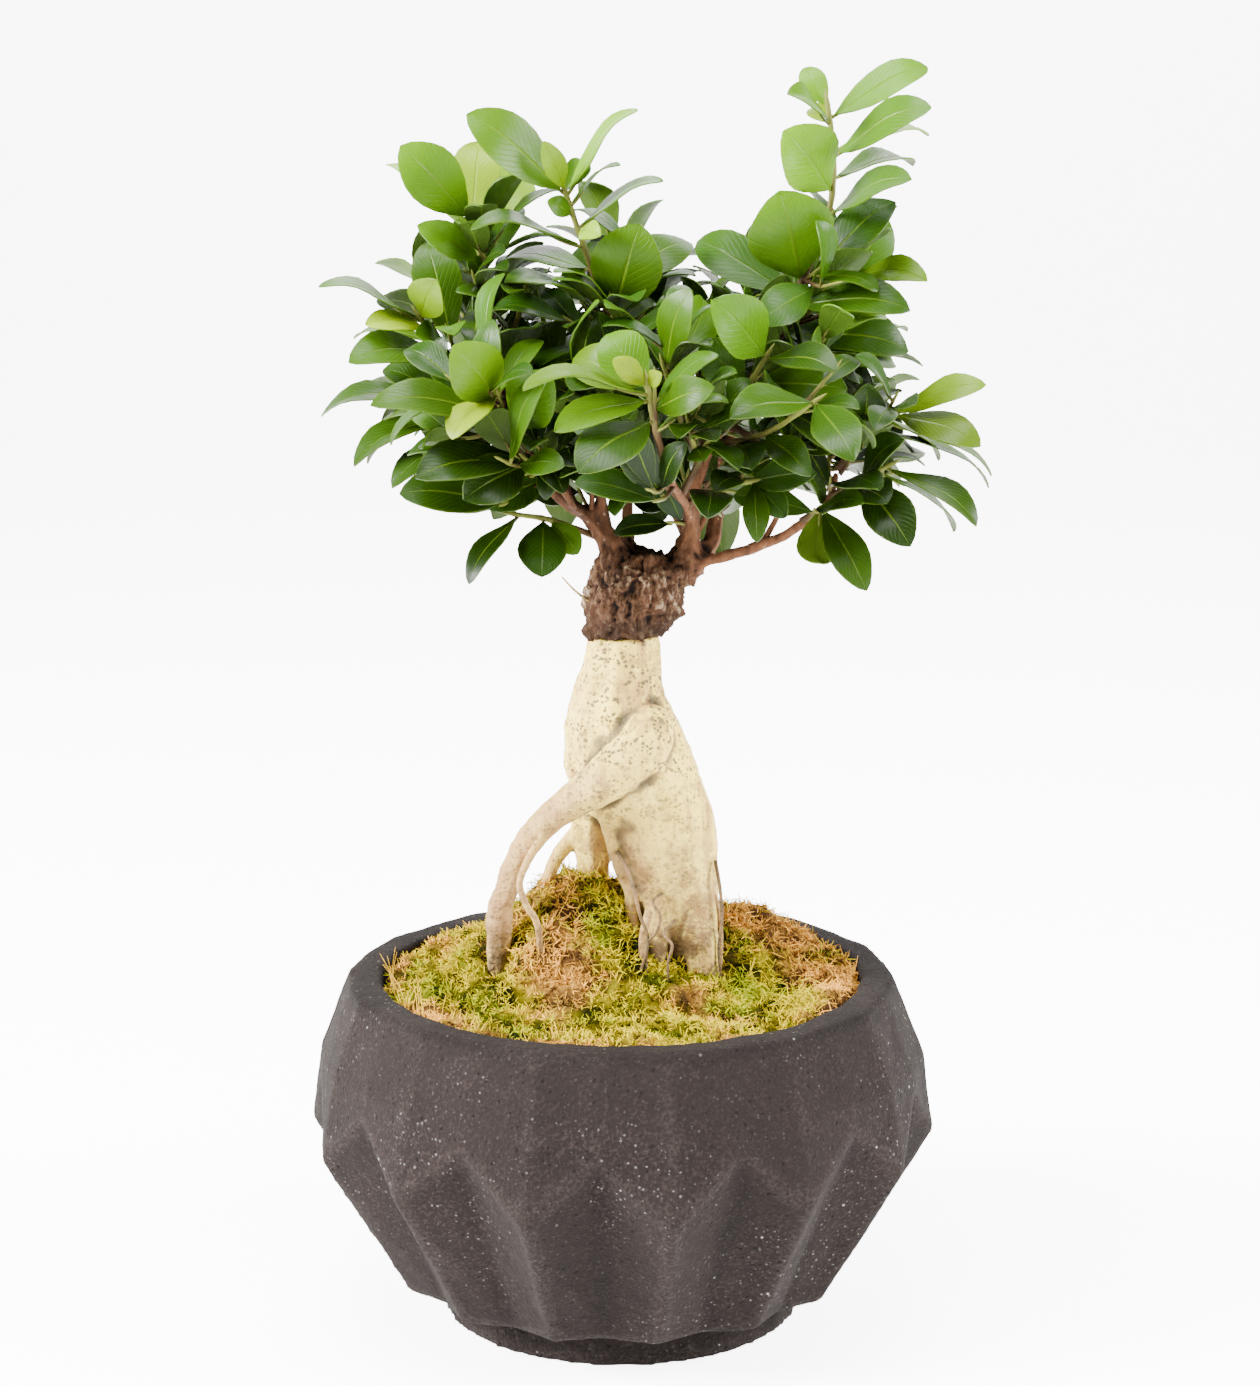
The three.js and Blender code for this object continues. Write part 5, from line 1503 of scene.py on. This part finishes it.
def coarse_stem(stem):
    """Two crossed ribbons along a stem: their points and faces."""
    points = []
    for across in ((STEM_ROOM, 0, 0), (0, STEM_ROOM, 0)):
        for i in range(7):
            middle = curve_point(stem, i / 6)
            points += [middle - across, middle + across]
    faces = [(i, i + 1, i + 3, i + 2) for i in (*range(0, 12, 2), *range(14, 26, 2))]
    return points, faces


def search_tree(shapes):
    """One tree of several shapes, for finding what crosses them."""
    points, faces = [], []
    for shape_points, shape_faces in shapes:
        faces += [[i + len(points) for i in face] for face in shape_faces]
        points += shape_points
    return BVHTree.FromPolygons([Vector(point) for point in points], faces)


def in_cloud(leaf):
    """Whether a leaf's outer part lies in one of the clouds and above the bare limbs."""
    middle = leaf["base"] * 0.4 + leaf["tip"] * 0.6
    ends = (middle, leaf["tip"])
    sag = BACK_SAG if middle[1] > BACK_START else 0
    if min(end[2] + CROWN_SAG * abs(end[0]) + sag for end in ends) < CROWN_FLOOR:
        return False
    return any(max((((end - cloud) / half) ** 2).sum() for end in ends) < 1 for cloud, half in CLOUDS)


def twig_starts(chance):
    """Places on the limbs and stems where inner twigs may start, with the way out of the bark."""
    starts = []
    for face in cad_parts["scion_wood"].data.polygons:
        middle = np.array(face.center) / MM
        if middle[2] > CROWN_FLOOR - 6:
            starts.append((middle - BARK_DEPTH * np.array(face.normal), np.array(face.normal)))
    for stem, _ in CROWN.values():
        for _ in range(STEM_STARTS):
            way = unit(np.array([chance.gauss(0, 1) for _ in range(3)]))
            starts.append((curve_point(stem, chance.uniform(0.1, 0.9)), way))
    return starts


# Twigs between the bare limbs, as the front shoots' tables have theirs
LOW_TWIGS = (
    (
        [(24, -1, 254), (20, -3, 257), (16, -6, 258)],
        [(1, -2, -9, 255, 8, UP_FRONT, 0.05), (0.6, 12, -4, 272, 9, FRONT, 0)],
    ),
    (
        [(-4, 2, 252), (-12, 6, 264), (-15, 8, 272)],
        [
            (0.6, -28, 2, 266, 9, FRONT, 0), (1, -8, 2, 284, 10, FRONT, 0.05),
            (0.9, -26, 4, 279, 9, FRONT, 0.1), (0.7, -1, 1, 268, 8, FRONT, 0),
        ],
    ),
    (
        [(2, 5, 250), (2, 8, 264), (5, 10, 274)],
        [
            (0.6, 13, 4, 270, 8, FRONT, 0), (0.75, -8, 6, 272, 9, FRONT, 0.05),
            (1, 2, 4, 288, 10, FRONT, 0), (0.5, 15, 3, 262, 8, FRONT, 0.05),
            (0.85, 16, 6, 277, 9, FRONT, 0),
        ],
    ),
    (
        [(3, 10, 262), (8, 16, 268), (10, 20, 274)],
        [
            (0.5, -6, 18, 265, 12, FRONT, 0), (0.8, 22, 16, 267, 13, FRONT, 0.05),
            (1, 4, 14, 279, 13, FRONT, 0), (0.3, 14, 12, 256, 9, FRONT, 0.1),
        ],
    ),
)


def inner_twigs(count, chance):
    """Short leafy twigs that fill the crown, each clear of what is there already."""
    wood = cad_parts["scion_wood"].data
    built = [([np.array(v.co) / MM for v in wood.vertices], [list(face.vertices) for face in wood.polygons])]
    for stem, leaves in CROWN.values():
        built += [coarse_stem(stem), *map(coarse_blade, leaves)]
    trees = [search_tree(built), None]
    twigs = [(stem, shown_leaves(stem, rows)) for stem, rows in LOW_TWIGS]
    added = [coarse_blade(leaf) for _, leaves in twigs for leaf in leaves]
    trees[1] = search_tree(added)
    starts = twig_starts(chance)
    for _ in range(count * STARTS_TRIED):
        if len(twigs) == count:
            break
        start, out = starts[chance.randrange(len(starts))]
        away = unit((start - CLOUDS[0][0]) * (1, 1, 0.6) + (0.01, 0, 0))
        way = unit(out + away * 0.9 + (0, 0, chance.uniform(*TWIG_RISE)))
        reach = chance.uniform(*TWIG_REACH)
        bend = np.array((0, 0, chance.uniform(*TWIG_BEND) * reach))
        stem = [start, start + way * reach * 0.5, start + way * reach + bend]
        leaves = twig_leaves(stem, chance, [tree for tree in trees if tree])
        if len(leaves) > 1:
            twigs.append((stem, leaves))
            added += map(coarse_blade, leaves)
            trees[1] = search_tree(added)
    return twigs


def twig_leaves(stem, chance, trees):
    """The leaves of one inner twig that find room."""
    leaves = []
    turn = chance.uniform(0, 360)
    for i in range(TWIG_LEAVES):
        along = i / (TWIG_LEAVES - 1)
        share = 0.4 + 0.59 * i / (TWIG_LEAVES - 1)
        base = curve_point(stem, share)
        stem_way = curve_way(stem, share)
        out_way = turned(unit(np.cross((0.1, 0, 1), stem_way)), stem_way, math.radians(turn))
        turn += SPIRAL_TURN
        angle = math.radians(mix(*TWIG_SPREAD, along) + chance.uniform(-TWIG_SPREAD_PLAY, TWIG_SPREAD_PLAY))
        length = chance.uniform(*TWIG_LENGTHS)
        way = unit(stem_way * math.cos(angle) + out_way * math.sin(angle))
        leaf = {"base": base, "tip": base + way * length, "facing": stem_way + (0, 0, 0.7), "share": share}
        leaf.update(width=length * chance.uniform(*TWIG_SHAPES), age=chance.uniform(*TWIG_AGES))
        if not in_cloud(leaf):
            continue
        mine = search_tree([coarse_blade(leaf)])
        own = search_tree(map(coarse_blade, leaves)) if leaves else None
        if not any(mine.overlap(tree) for tree in (*trees, own) if tree):
            leaves.append(leaf)
    return leaves


class BONSAI_OT_shoots(Operator):
    """Build the leafy shoots of the crown."""

    bl_idname = "bonsai.shoots"
    bl_label = "Shoots"

    def execute(self, context):
        settings = context.scene.bonsai_foliage
        chance = random.Random(31)
        material = leaf_material(settings)
        for name, (stem, leaves) in CROWN.items():
            mesh = leafy_mesh(name, stem, leaves, settings.thickness, STEM_THICK, chance)
            finish_piece(name.replace("shoot", "leafy_shoot"), mesh, material, [name])
        for i, (stem, leaves) in enumerate(inner_twigs(settings.extra, chance)):
            mesh = leafy_mesh(f"inner_twig_{i + 1}", stem, leaves, settings.thickness, TWIG_THICK, chance)
            finish_piece(mesh.name, mesh, material)
        return {"FINISHED"}


# Moss

# Tufts: how many in one piece, how many kinds, and what each is made of
MOST_SPRIGS = 2600
SPRIG_KINDS = 10
SPRIG_STRANDS = 4
SPRIG_RADIUS = 0.00024
SPRIG_LEANS = (0.25, 1.15)
SPRIG_LENGTHS = (0.6, 1.15)
SPRIG_SIZES = (0.65, 1.3)
SPRIG_SUNK = 0.0005
UP_LEAN = 1.6
# How much a strand curls, green and dry, and how much longer the dry ones are
GREEN_CURL = 0.6
DRY_CURL = 1.1
DRY_LENGTH = 1.35
# Stray strands: how many, where round the rim in degrees, how far out, how long and how thick
STRAYS = 22
STRAY_ARC = (172, 222)
STRAY_FOOT = 0.0735
STRAY_LENGTHS = (0.008, 0.018)
STRAY_RADIUS = 0.00021
# Where the moss dries out along the rim, and over what width
DRY_EDGE = 0.068
DRY_EDGE_BLEND = 0.004
MOSS_NODES = ("moss_green", "moss_dry_mound", "moss_dry_right")
# Where the moss is dry and where it is lush: x, y, reach in millimetres and how much
DRY_SPOTS = (
    (69, -6, 15, 1.7), (-64, 46, 16, 0.8), (30, 52, 20, 0.9), (-19, -24, 13, 1.5), (-26, 2, 15, 0.9),
    (50, 22, 22, 1.3), (8, -79, 8, 1.1), (-34, -72, 7, 0.9), (-60, -36, 12, 1.0), (22, -32, 7, 0.9),
    (42, -66, 7, 0.8),
)
LUSH_SPOTS = ((47, -20, 13, 1.5), (-1, -14, 8, 1.5), (-50, -20, 16, 0.6), (0, -56, 20, 0.4))


def spot_value(place, spots):
    """The strongest of the spots at a place."""
    values = []
    for x, y, reach, most in spots:
        away = (place.x / MM - x) ** 2 + (place.y / MM - y) ** 2
        values.append(most * math.exp(-away / reach ** 2))
    return max(values)


def dryness(place, lot):
    """How dry the moss is at a place, from the dry and the lush spots; lot strews the edges."""
    patchy = noise.noise(place / 0.012 + Vector((3, 1, 0))) * 0.7
    edge = kept((math.hypot(place.x, place.y) - DRY_EDGE) / DRY_EDGE_BLEND)
    edge *= 0.6 + noise.noise(place / 0.02)
    value = spot_value(place, DRY_SPOTS) - 0.9 * spot_value(place, LUSH_SPOTS)
    value = value + edge + patchy + (lot - 0.5) * 1.1
    return kept((value - 0.15) * 1.4)


def strand(bm, points, radius):
    """Adds a thin three-sided strand that narrows to its tip."""
    radii = [radius * mix(1, 0.3, i / (len(points) - 1)) for i in range(len(points))]
    return add_tube(bm, points, radii, 3)


def sprig_template(chance, length, curl):
    """A small tuft of strands from one foot, in metres, with how far along its strand each point is."""
    bm = bmesh.new()
    reach = []
    for _ in range(SPRIG_STRANDS):
        turn = chance.uniform(0, math.tau)
        lean = chance.uniform(*SPRIG_LEANS)
        size = length * chance.uniform(*SPRIG_LENGTHS)
        way = Vector((math.cos(turn) * lean, math.sin(turn) * lean, 1)).normalized()
        bend = Vector((-math.sin(turn), math.cos(turn), 0)) * chance.uniform(-curl, curl)
        droop = Vector((0, 0, -curl * chance.uniform(0.2, 0.9)))
        points = [way * size * s + (bend + droop) * size * s * s for s in (-0.12, 0.45, 1.0)]
        rings = strand(bm, points, SPRIG_RADIUS)
        reach += [value for ring, value in zip(rings, (0.0, 0.55, 1.0)) for _ in ring]
    return closed_mesh(bm, "sprig", smooth=False), reach


def strew(name, spots, templates, material):
    """One piece made of many small tufts: each spot is (place, up, turn, size, tint, dry)."""
    bm = bmesh.new()
    rows = []
    for i, (place, up, turn, size, tint, dry) in enumerate(spots):
        mesh, reach = templates[i % len(templates)]
        upright = up.to_track_quat("Z", "Y").to_matrix().to_4x4()
        matrix = Matrix.Translation(place) @ upright @ Matrix.Rotation(turn, 4, "Z") @ Matrix.Scale(size, 4)
        mesh.transform(matrix)
        bm.from_mesh(mesh)
        mesh.transform(matrix.inverted())
        rows.append(np.array([(tint, dry, value) for value in reach]))
    mesh = as_mesh(bm, name, smooth=False)
    values = np.concatenate(rows)
    for k, label in enumerate(("tint", "dry", "reach")):
        store_value(mesh, label, values[:, k])
    return finish_piece(name, mesh, material)


def moss_spots(mesh, spacing, chance):
    """Places for tufts strewn evenly over the upper side of a moss cushion."""
    faces = [face for face in mesh.polygons if face.normal.z > -0.05]
    areas = np.array([face.area for face in faces])
    spots = []
    for face in chance.choices(faces, weights=areas, k=int(areas.sum() / spacing ** 2)):
        corners = [mesh.vertices[i].co for i in face.vertices]
        shares = [chance.random() for _ in corners]
        place = sum((corner * share for corner, share in zip(corners, shares)), Vector()) / sum(shares)
        draws = [chance.random() for _ in range(5)]
        lean = Vector((draws[0] - 0.5, draws[1] - 0.5, 0)) * UP_LEAN
        up = (face.normal + lean + Vector((0, 0, 0.2))).normalized()
        # The tint picks how far a sprig gets the painted lit colour rather than the painted shade
        tint = kept(0.42 + noise.noise(place / 0.006) * 0.9 + (draws[3] - 0.5))
        foot = place - face.normal * SPRIG_SUNK
        size = mix(*SPRIG_SIZES, draws[3])
        spots.append((foot, up, draws[4] * math.tau, size, tint, dryness(place, draws[2])))
    spots.sort(key=lambda spot: spot[0].x)
    return spots


# Where the moss climbs the foot of a root: x, y, reach and height in millimetres
CLIMBS = ((26, -20, 10, 7), (14, -24, 9, 6), (36, -6, 9, 5), (-36, -27, 8, 2), (6, -18, 8, 4))


def moss_base(name, cell, lumps):
    """A lumpy cushion made from a moss node."""
    mesh = remeshed(node_copy(name), name, cell, rounds=4)

    def height(place, way):
        if way.z < 0.1:
            return 0.0
        lump = lumps * (wander(place, 0.016) + 1.1 * wander(place + Vector((0.1, 0, 0)), 0.006))
        return way.z * (lump + MM * spot_value(place, CLIMBS))

    push_out(mesh, height)
    places = [vertex.co for vertex in mesh.vertices]
    # Painted shade: a low tint and a short reach paint the cushion in the shaded moss colours
    store_value(mesh, "tint", [0.3 + 0.5 * noise.noise(place / 0.008) for place in places])
    store_value(mesh, "dry", [dryness(place, 0.5) for place in places])
    store_even(mesh, reach=0.25)
    return mesh


def stray_strands(chance):
    """Thin pale strands that stand up along the left rim, with their tips out over it."""
    bm = bmesh.new()
    for _ in range(STRAYS):
        turn = math.radians(chance.uniform(*STRAY_ARC))
        out = Vector((math.cos(turn), math.sin(turn), 0))
        foot = out * STRAY_FOOT + Vector((0, 0, RIM_HEIGHT - 0.005))
        length = chance.uniform(*STRAY_LENGTHS)
        lean = chance.uniform(-0.25, 0.4)
        aside = Vector((-out.y, out.x, 0)) * chance.uniform(-0.5, 0.5)
        points = []
        for s in (0, 0.3, 0.6, 1):
            points.append(foot + (Vector((0, 0, 1 - 0.2 * s)) + (out * lean + aside) * s) * length * s)
        strand(bm, points, STRAY_RADIUS)
    mesh = closed_mesh(bm, "stray_strands")
    # The strands get the painted lit moss colour, with no painted shade at their feet
    store_even(mesh, tint=1.0, dry=0.6, reach=1.0)
    return mesh


class BONSAI_OT_moss(Operator):
    """Build the moss cushions, their tufts, green and dry, and the stray strands at the rim."""

    bl_idname = "bonsai.moss"
    bl_label = "Moss"

    def execute(self, context):
        settings = context.scene.bonsai_moss
        chance = random.Random(53)
        material = moss_material(settings)
        soft = [sprig_template(chance, settings.length, GREEN_CURL) for _ in range(SPRIG_KINDS)]
        long = settings.length * DRY_LENGTH
        curly = [sprig_template(chance, long, DRY_CURL) for _ in range(SPRIG_KINDS)]
        for name in MOSS_NODES:
            dry = name != "moss_green"
            mesh = moss_base(name, settings.cell, settings.lumps)
            finish_piece(name + "_cushion", mesh, material, [name])
            spots = moss_spots(mesh, settings.spacing, chance)
            parts = math.ceil(len(spots) / MOST_SPRIGS)
            for i in range(parts):
                part = spots[len(spots) * i // parts:len(spots) * (i + 1) // parts]
                strew(f"{name}_tufts_{i + 1}", part, curly if dry else soft, material)
        strays = stray_strands(chance)
        finish_piece(strays.name, strays, material)
        return {"FINISHED"}


# Stage

# Soft lights: name, place, target, size and watts
LIGHTS = (
    ("left_softbox", (-1.4, -0.45, 0.95), (0, 0, 0.2), 0.7, 188.0),
    ("right_softbox", (1.4, -0.3, 0.85), (0, 0, 0.2), 0.8, 98.0),
    ("top_softbox", (-0.1, -0.3, 1.5), (0, 0, 0.2), 0.8, 60.0),
    ("back_light", (0.2, 1.2, 1.5), (0, 0, 0.3), 1.0, 30.0),
)


# How bright the sky is as a light, and how bright the camera sees it
SKY_LIGHT = 0.35
SKY_SEEN = 6.0
# The floor reaches this far each way, turns up at its back in a round of this radius and rises by this much
FLOOR_REACH = 2.0
SWEEP_RADIUS = 0.8
WALL_RISE = 1.6
EDGE_PLAY = 0.001


def sweep_mesh():
    """The floor with its backdrop: a square whose back edge turns up in a round and goes on upwards."""
    bm = bmesh.new()
    bmesh.ops.create_grid(bm, x_segments=1, y_segments=1, size=FLOOR_REACH)
    back = [edge for edge in bm.edges if all(vert.co.y > FLOOR_REACH - EDGE_PLAY for vert in edge.verts)]
    bmesh.ops.spin(
        bm, geom=back, cent=(0, FLOOR_REACH, SWEEP_RADIUS), axis=(1, 0, 0), angle=math.radians(90), steps=16,
        use_duplicate=False,
    )
    top = max(vert.co.z for vert in bm.verts)
    open_edges = [edge for edge in bm.edges if edge.is_boundary]
    rim = [edge for edge in open_edges if all(vert.co.z > top - EDGE_PLAY for vert in edge.verts)]
    raised = bmesh.ops.extrude_edge_only(bm, edges=rim)["geom"]
    bmesh.ops.translate(bm, vec=(0, 0, WALL_RISE), verts=picked(raised, bmesh.types.BMVert))
    return as_mesh(bm, "studio_floor")


def paper_material(settings):
    """Pale paper that glows a little, and that the camera sees whiter than it lights the bonsai."""
    material, tree, shader = new_material("studio_paper")
    shader["Base Color"].default_value = (*settings.floor, 1)
    shader["Roughness"].default_value = 0.8
    shader["Emission Color"].default_value = (1, 1, 1, 1)
    seen = add(tree, "ShaderNodeLightPath").outputs["Is Camera Ray"]
    glow = spread(tree, seen, 0.0, 1.0, settings.glow, settings.glow + settings.white)
    tree.links.new(glow, shader["Emission Strength"])
    return material


def studio_sky():
    """A white sky that gives a little light and that the camera sees brighter."""
    world = bpy.data.worlds.new("studio")
    world.use_nodes = True
    sky = world.node_tree
    background = sky.nodes["Background"].inputs
    background["Color"].default_value = (1, 1, 1, 1)
    seen = add(sky, "ShaderNodeLightPath").outputs["Is Camera Ray"]
    sky.links.new(spread(sky, seen, 0.0, 1.0, SKY_LIGHT, SKY_SEEN), background["Strength"])
    return world


class BONSAI_OT_stage(Operator):
    """Build the plain pale floor with its backdrop, the soft lights and the camera."""

    bl_idname = "bonsai.stage"
    bl_label = "Stage"

    def execute(self, context):
        settings = context.scene.bonsai_stage
        scene = context.scene
        floor = bpy.data.objects.new("studio_floor", sweep_mesh())
        scene.collection.objects.link(floor)
        floor.data.materials.append(paper_material(settings))
        scene.world = studio_sky()
        for name, place, target, width, watts in LIGHTS:
            light = bpy.data.lights.new(name, "AREA")
            light.size = width
            light.energy = watts
            lamp = bpy.data.objects.new(name, light)
            lamp.location = place
            lamp.rotation_euler = (Vector(place) - Vector(target)).to_track_quat("Z", "Y").to_euler()
            scene.collection.objects.link(lamp)

        camera = bpy.data.cameras.new("camera")
        camera.lens = settings.lens
        camera.sensor_width = 36
        viewer = bpy.data.objects.new("camera", camera)
        viewer.location = settings.camera
        viewer.rotation_euler = (math.radians(90) - settings.pitch, 0, 0)
        scene.collection.objects.link(viewer)
        scene.camera = viewer
        return {"FINISHED"}


STEPS = (
    BONSAI_OT_bowl, BONSAI_OT_soil, BONSAI_OT_rootstock, BONSAI_OT_scion, BONSAI_OT_shoots,
    BONSAI_OT_moss, BONSAI_OT_stage,
)
SETTINGS = {
    "bonsai_bowl": BowlSettings,
    "bonsai_roots": RootSettings,
    "bonsai_wood": WoodSettings,
    "bonsai_foliage": FoliageSettings,
    "bonsai_moss": MossSettings,
    "bonsai_stage": StageSettings,
}


class BONSAI_PT_steps(Panel):
    """Lists the bonsai's pieces and their settings."""

    bl_label = "Ginseng Fig Bonsai"
    bl_space_type = "VIEW_3D"
    bl_region_type = "UI"
    bl_category = "Bonsai"

    def draw(self, context):
        for step in STEPS:
            self.layout.operator(step.bl_idname)
        for name, kind in SETTINGS.items():
            box = self.layout.box()
            for label in kind.__annotations__:
                box.prop(getattr(context.scene, name), label)


def register():
    """Registers the settings, the operators and the panel."""
    for name, kind in SETTINGS.items():
        bpy.utils.register_class(kind)
        setattr(bpy.types.Scene, name, PointerProperty(type=kind))
    for kind in (*STEPS, BONSAI_PT_steps):
        bpy.utils.register_class(kind)


def unregister():
    """Removes what register added."""
    for kind in reversed((*STEPS, BONSAI_PT_steps)):
        bpy.utils.unregister_class(kind)
    for name, kind in SETTINGS.items():
        delattr(bpy.types.Scene, name)
        bpy.utils.unregister_class(kind)


def main():
    """Builds every piece."""
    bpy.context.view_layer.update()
    register()
    for step in STEPS:
        group, name = step.bl_idname.split(".")
        getattr(getattr(bpy.ops, group), name)()


if __name__ == "__main__":
    main()
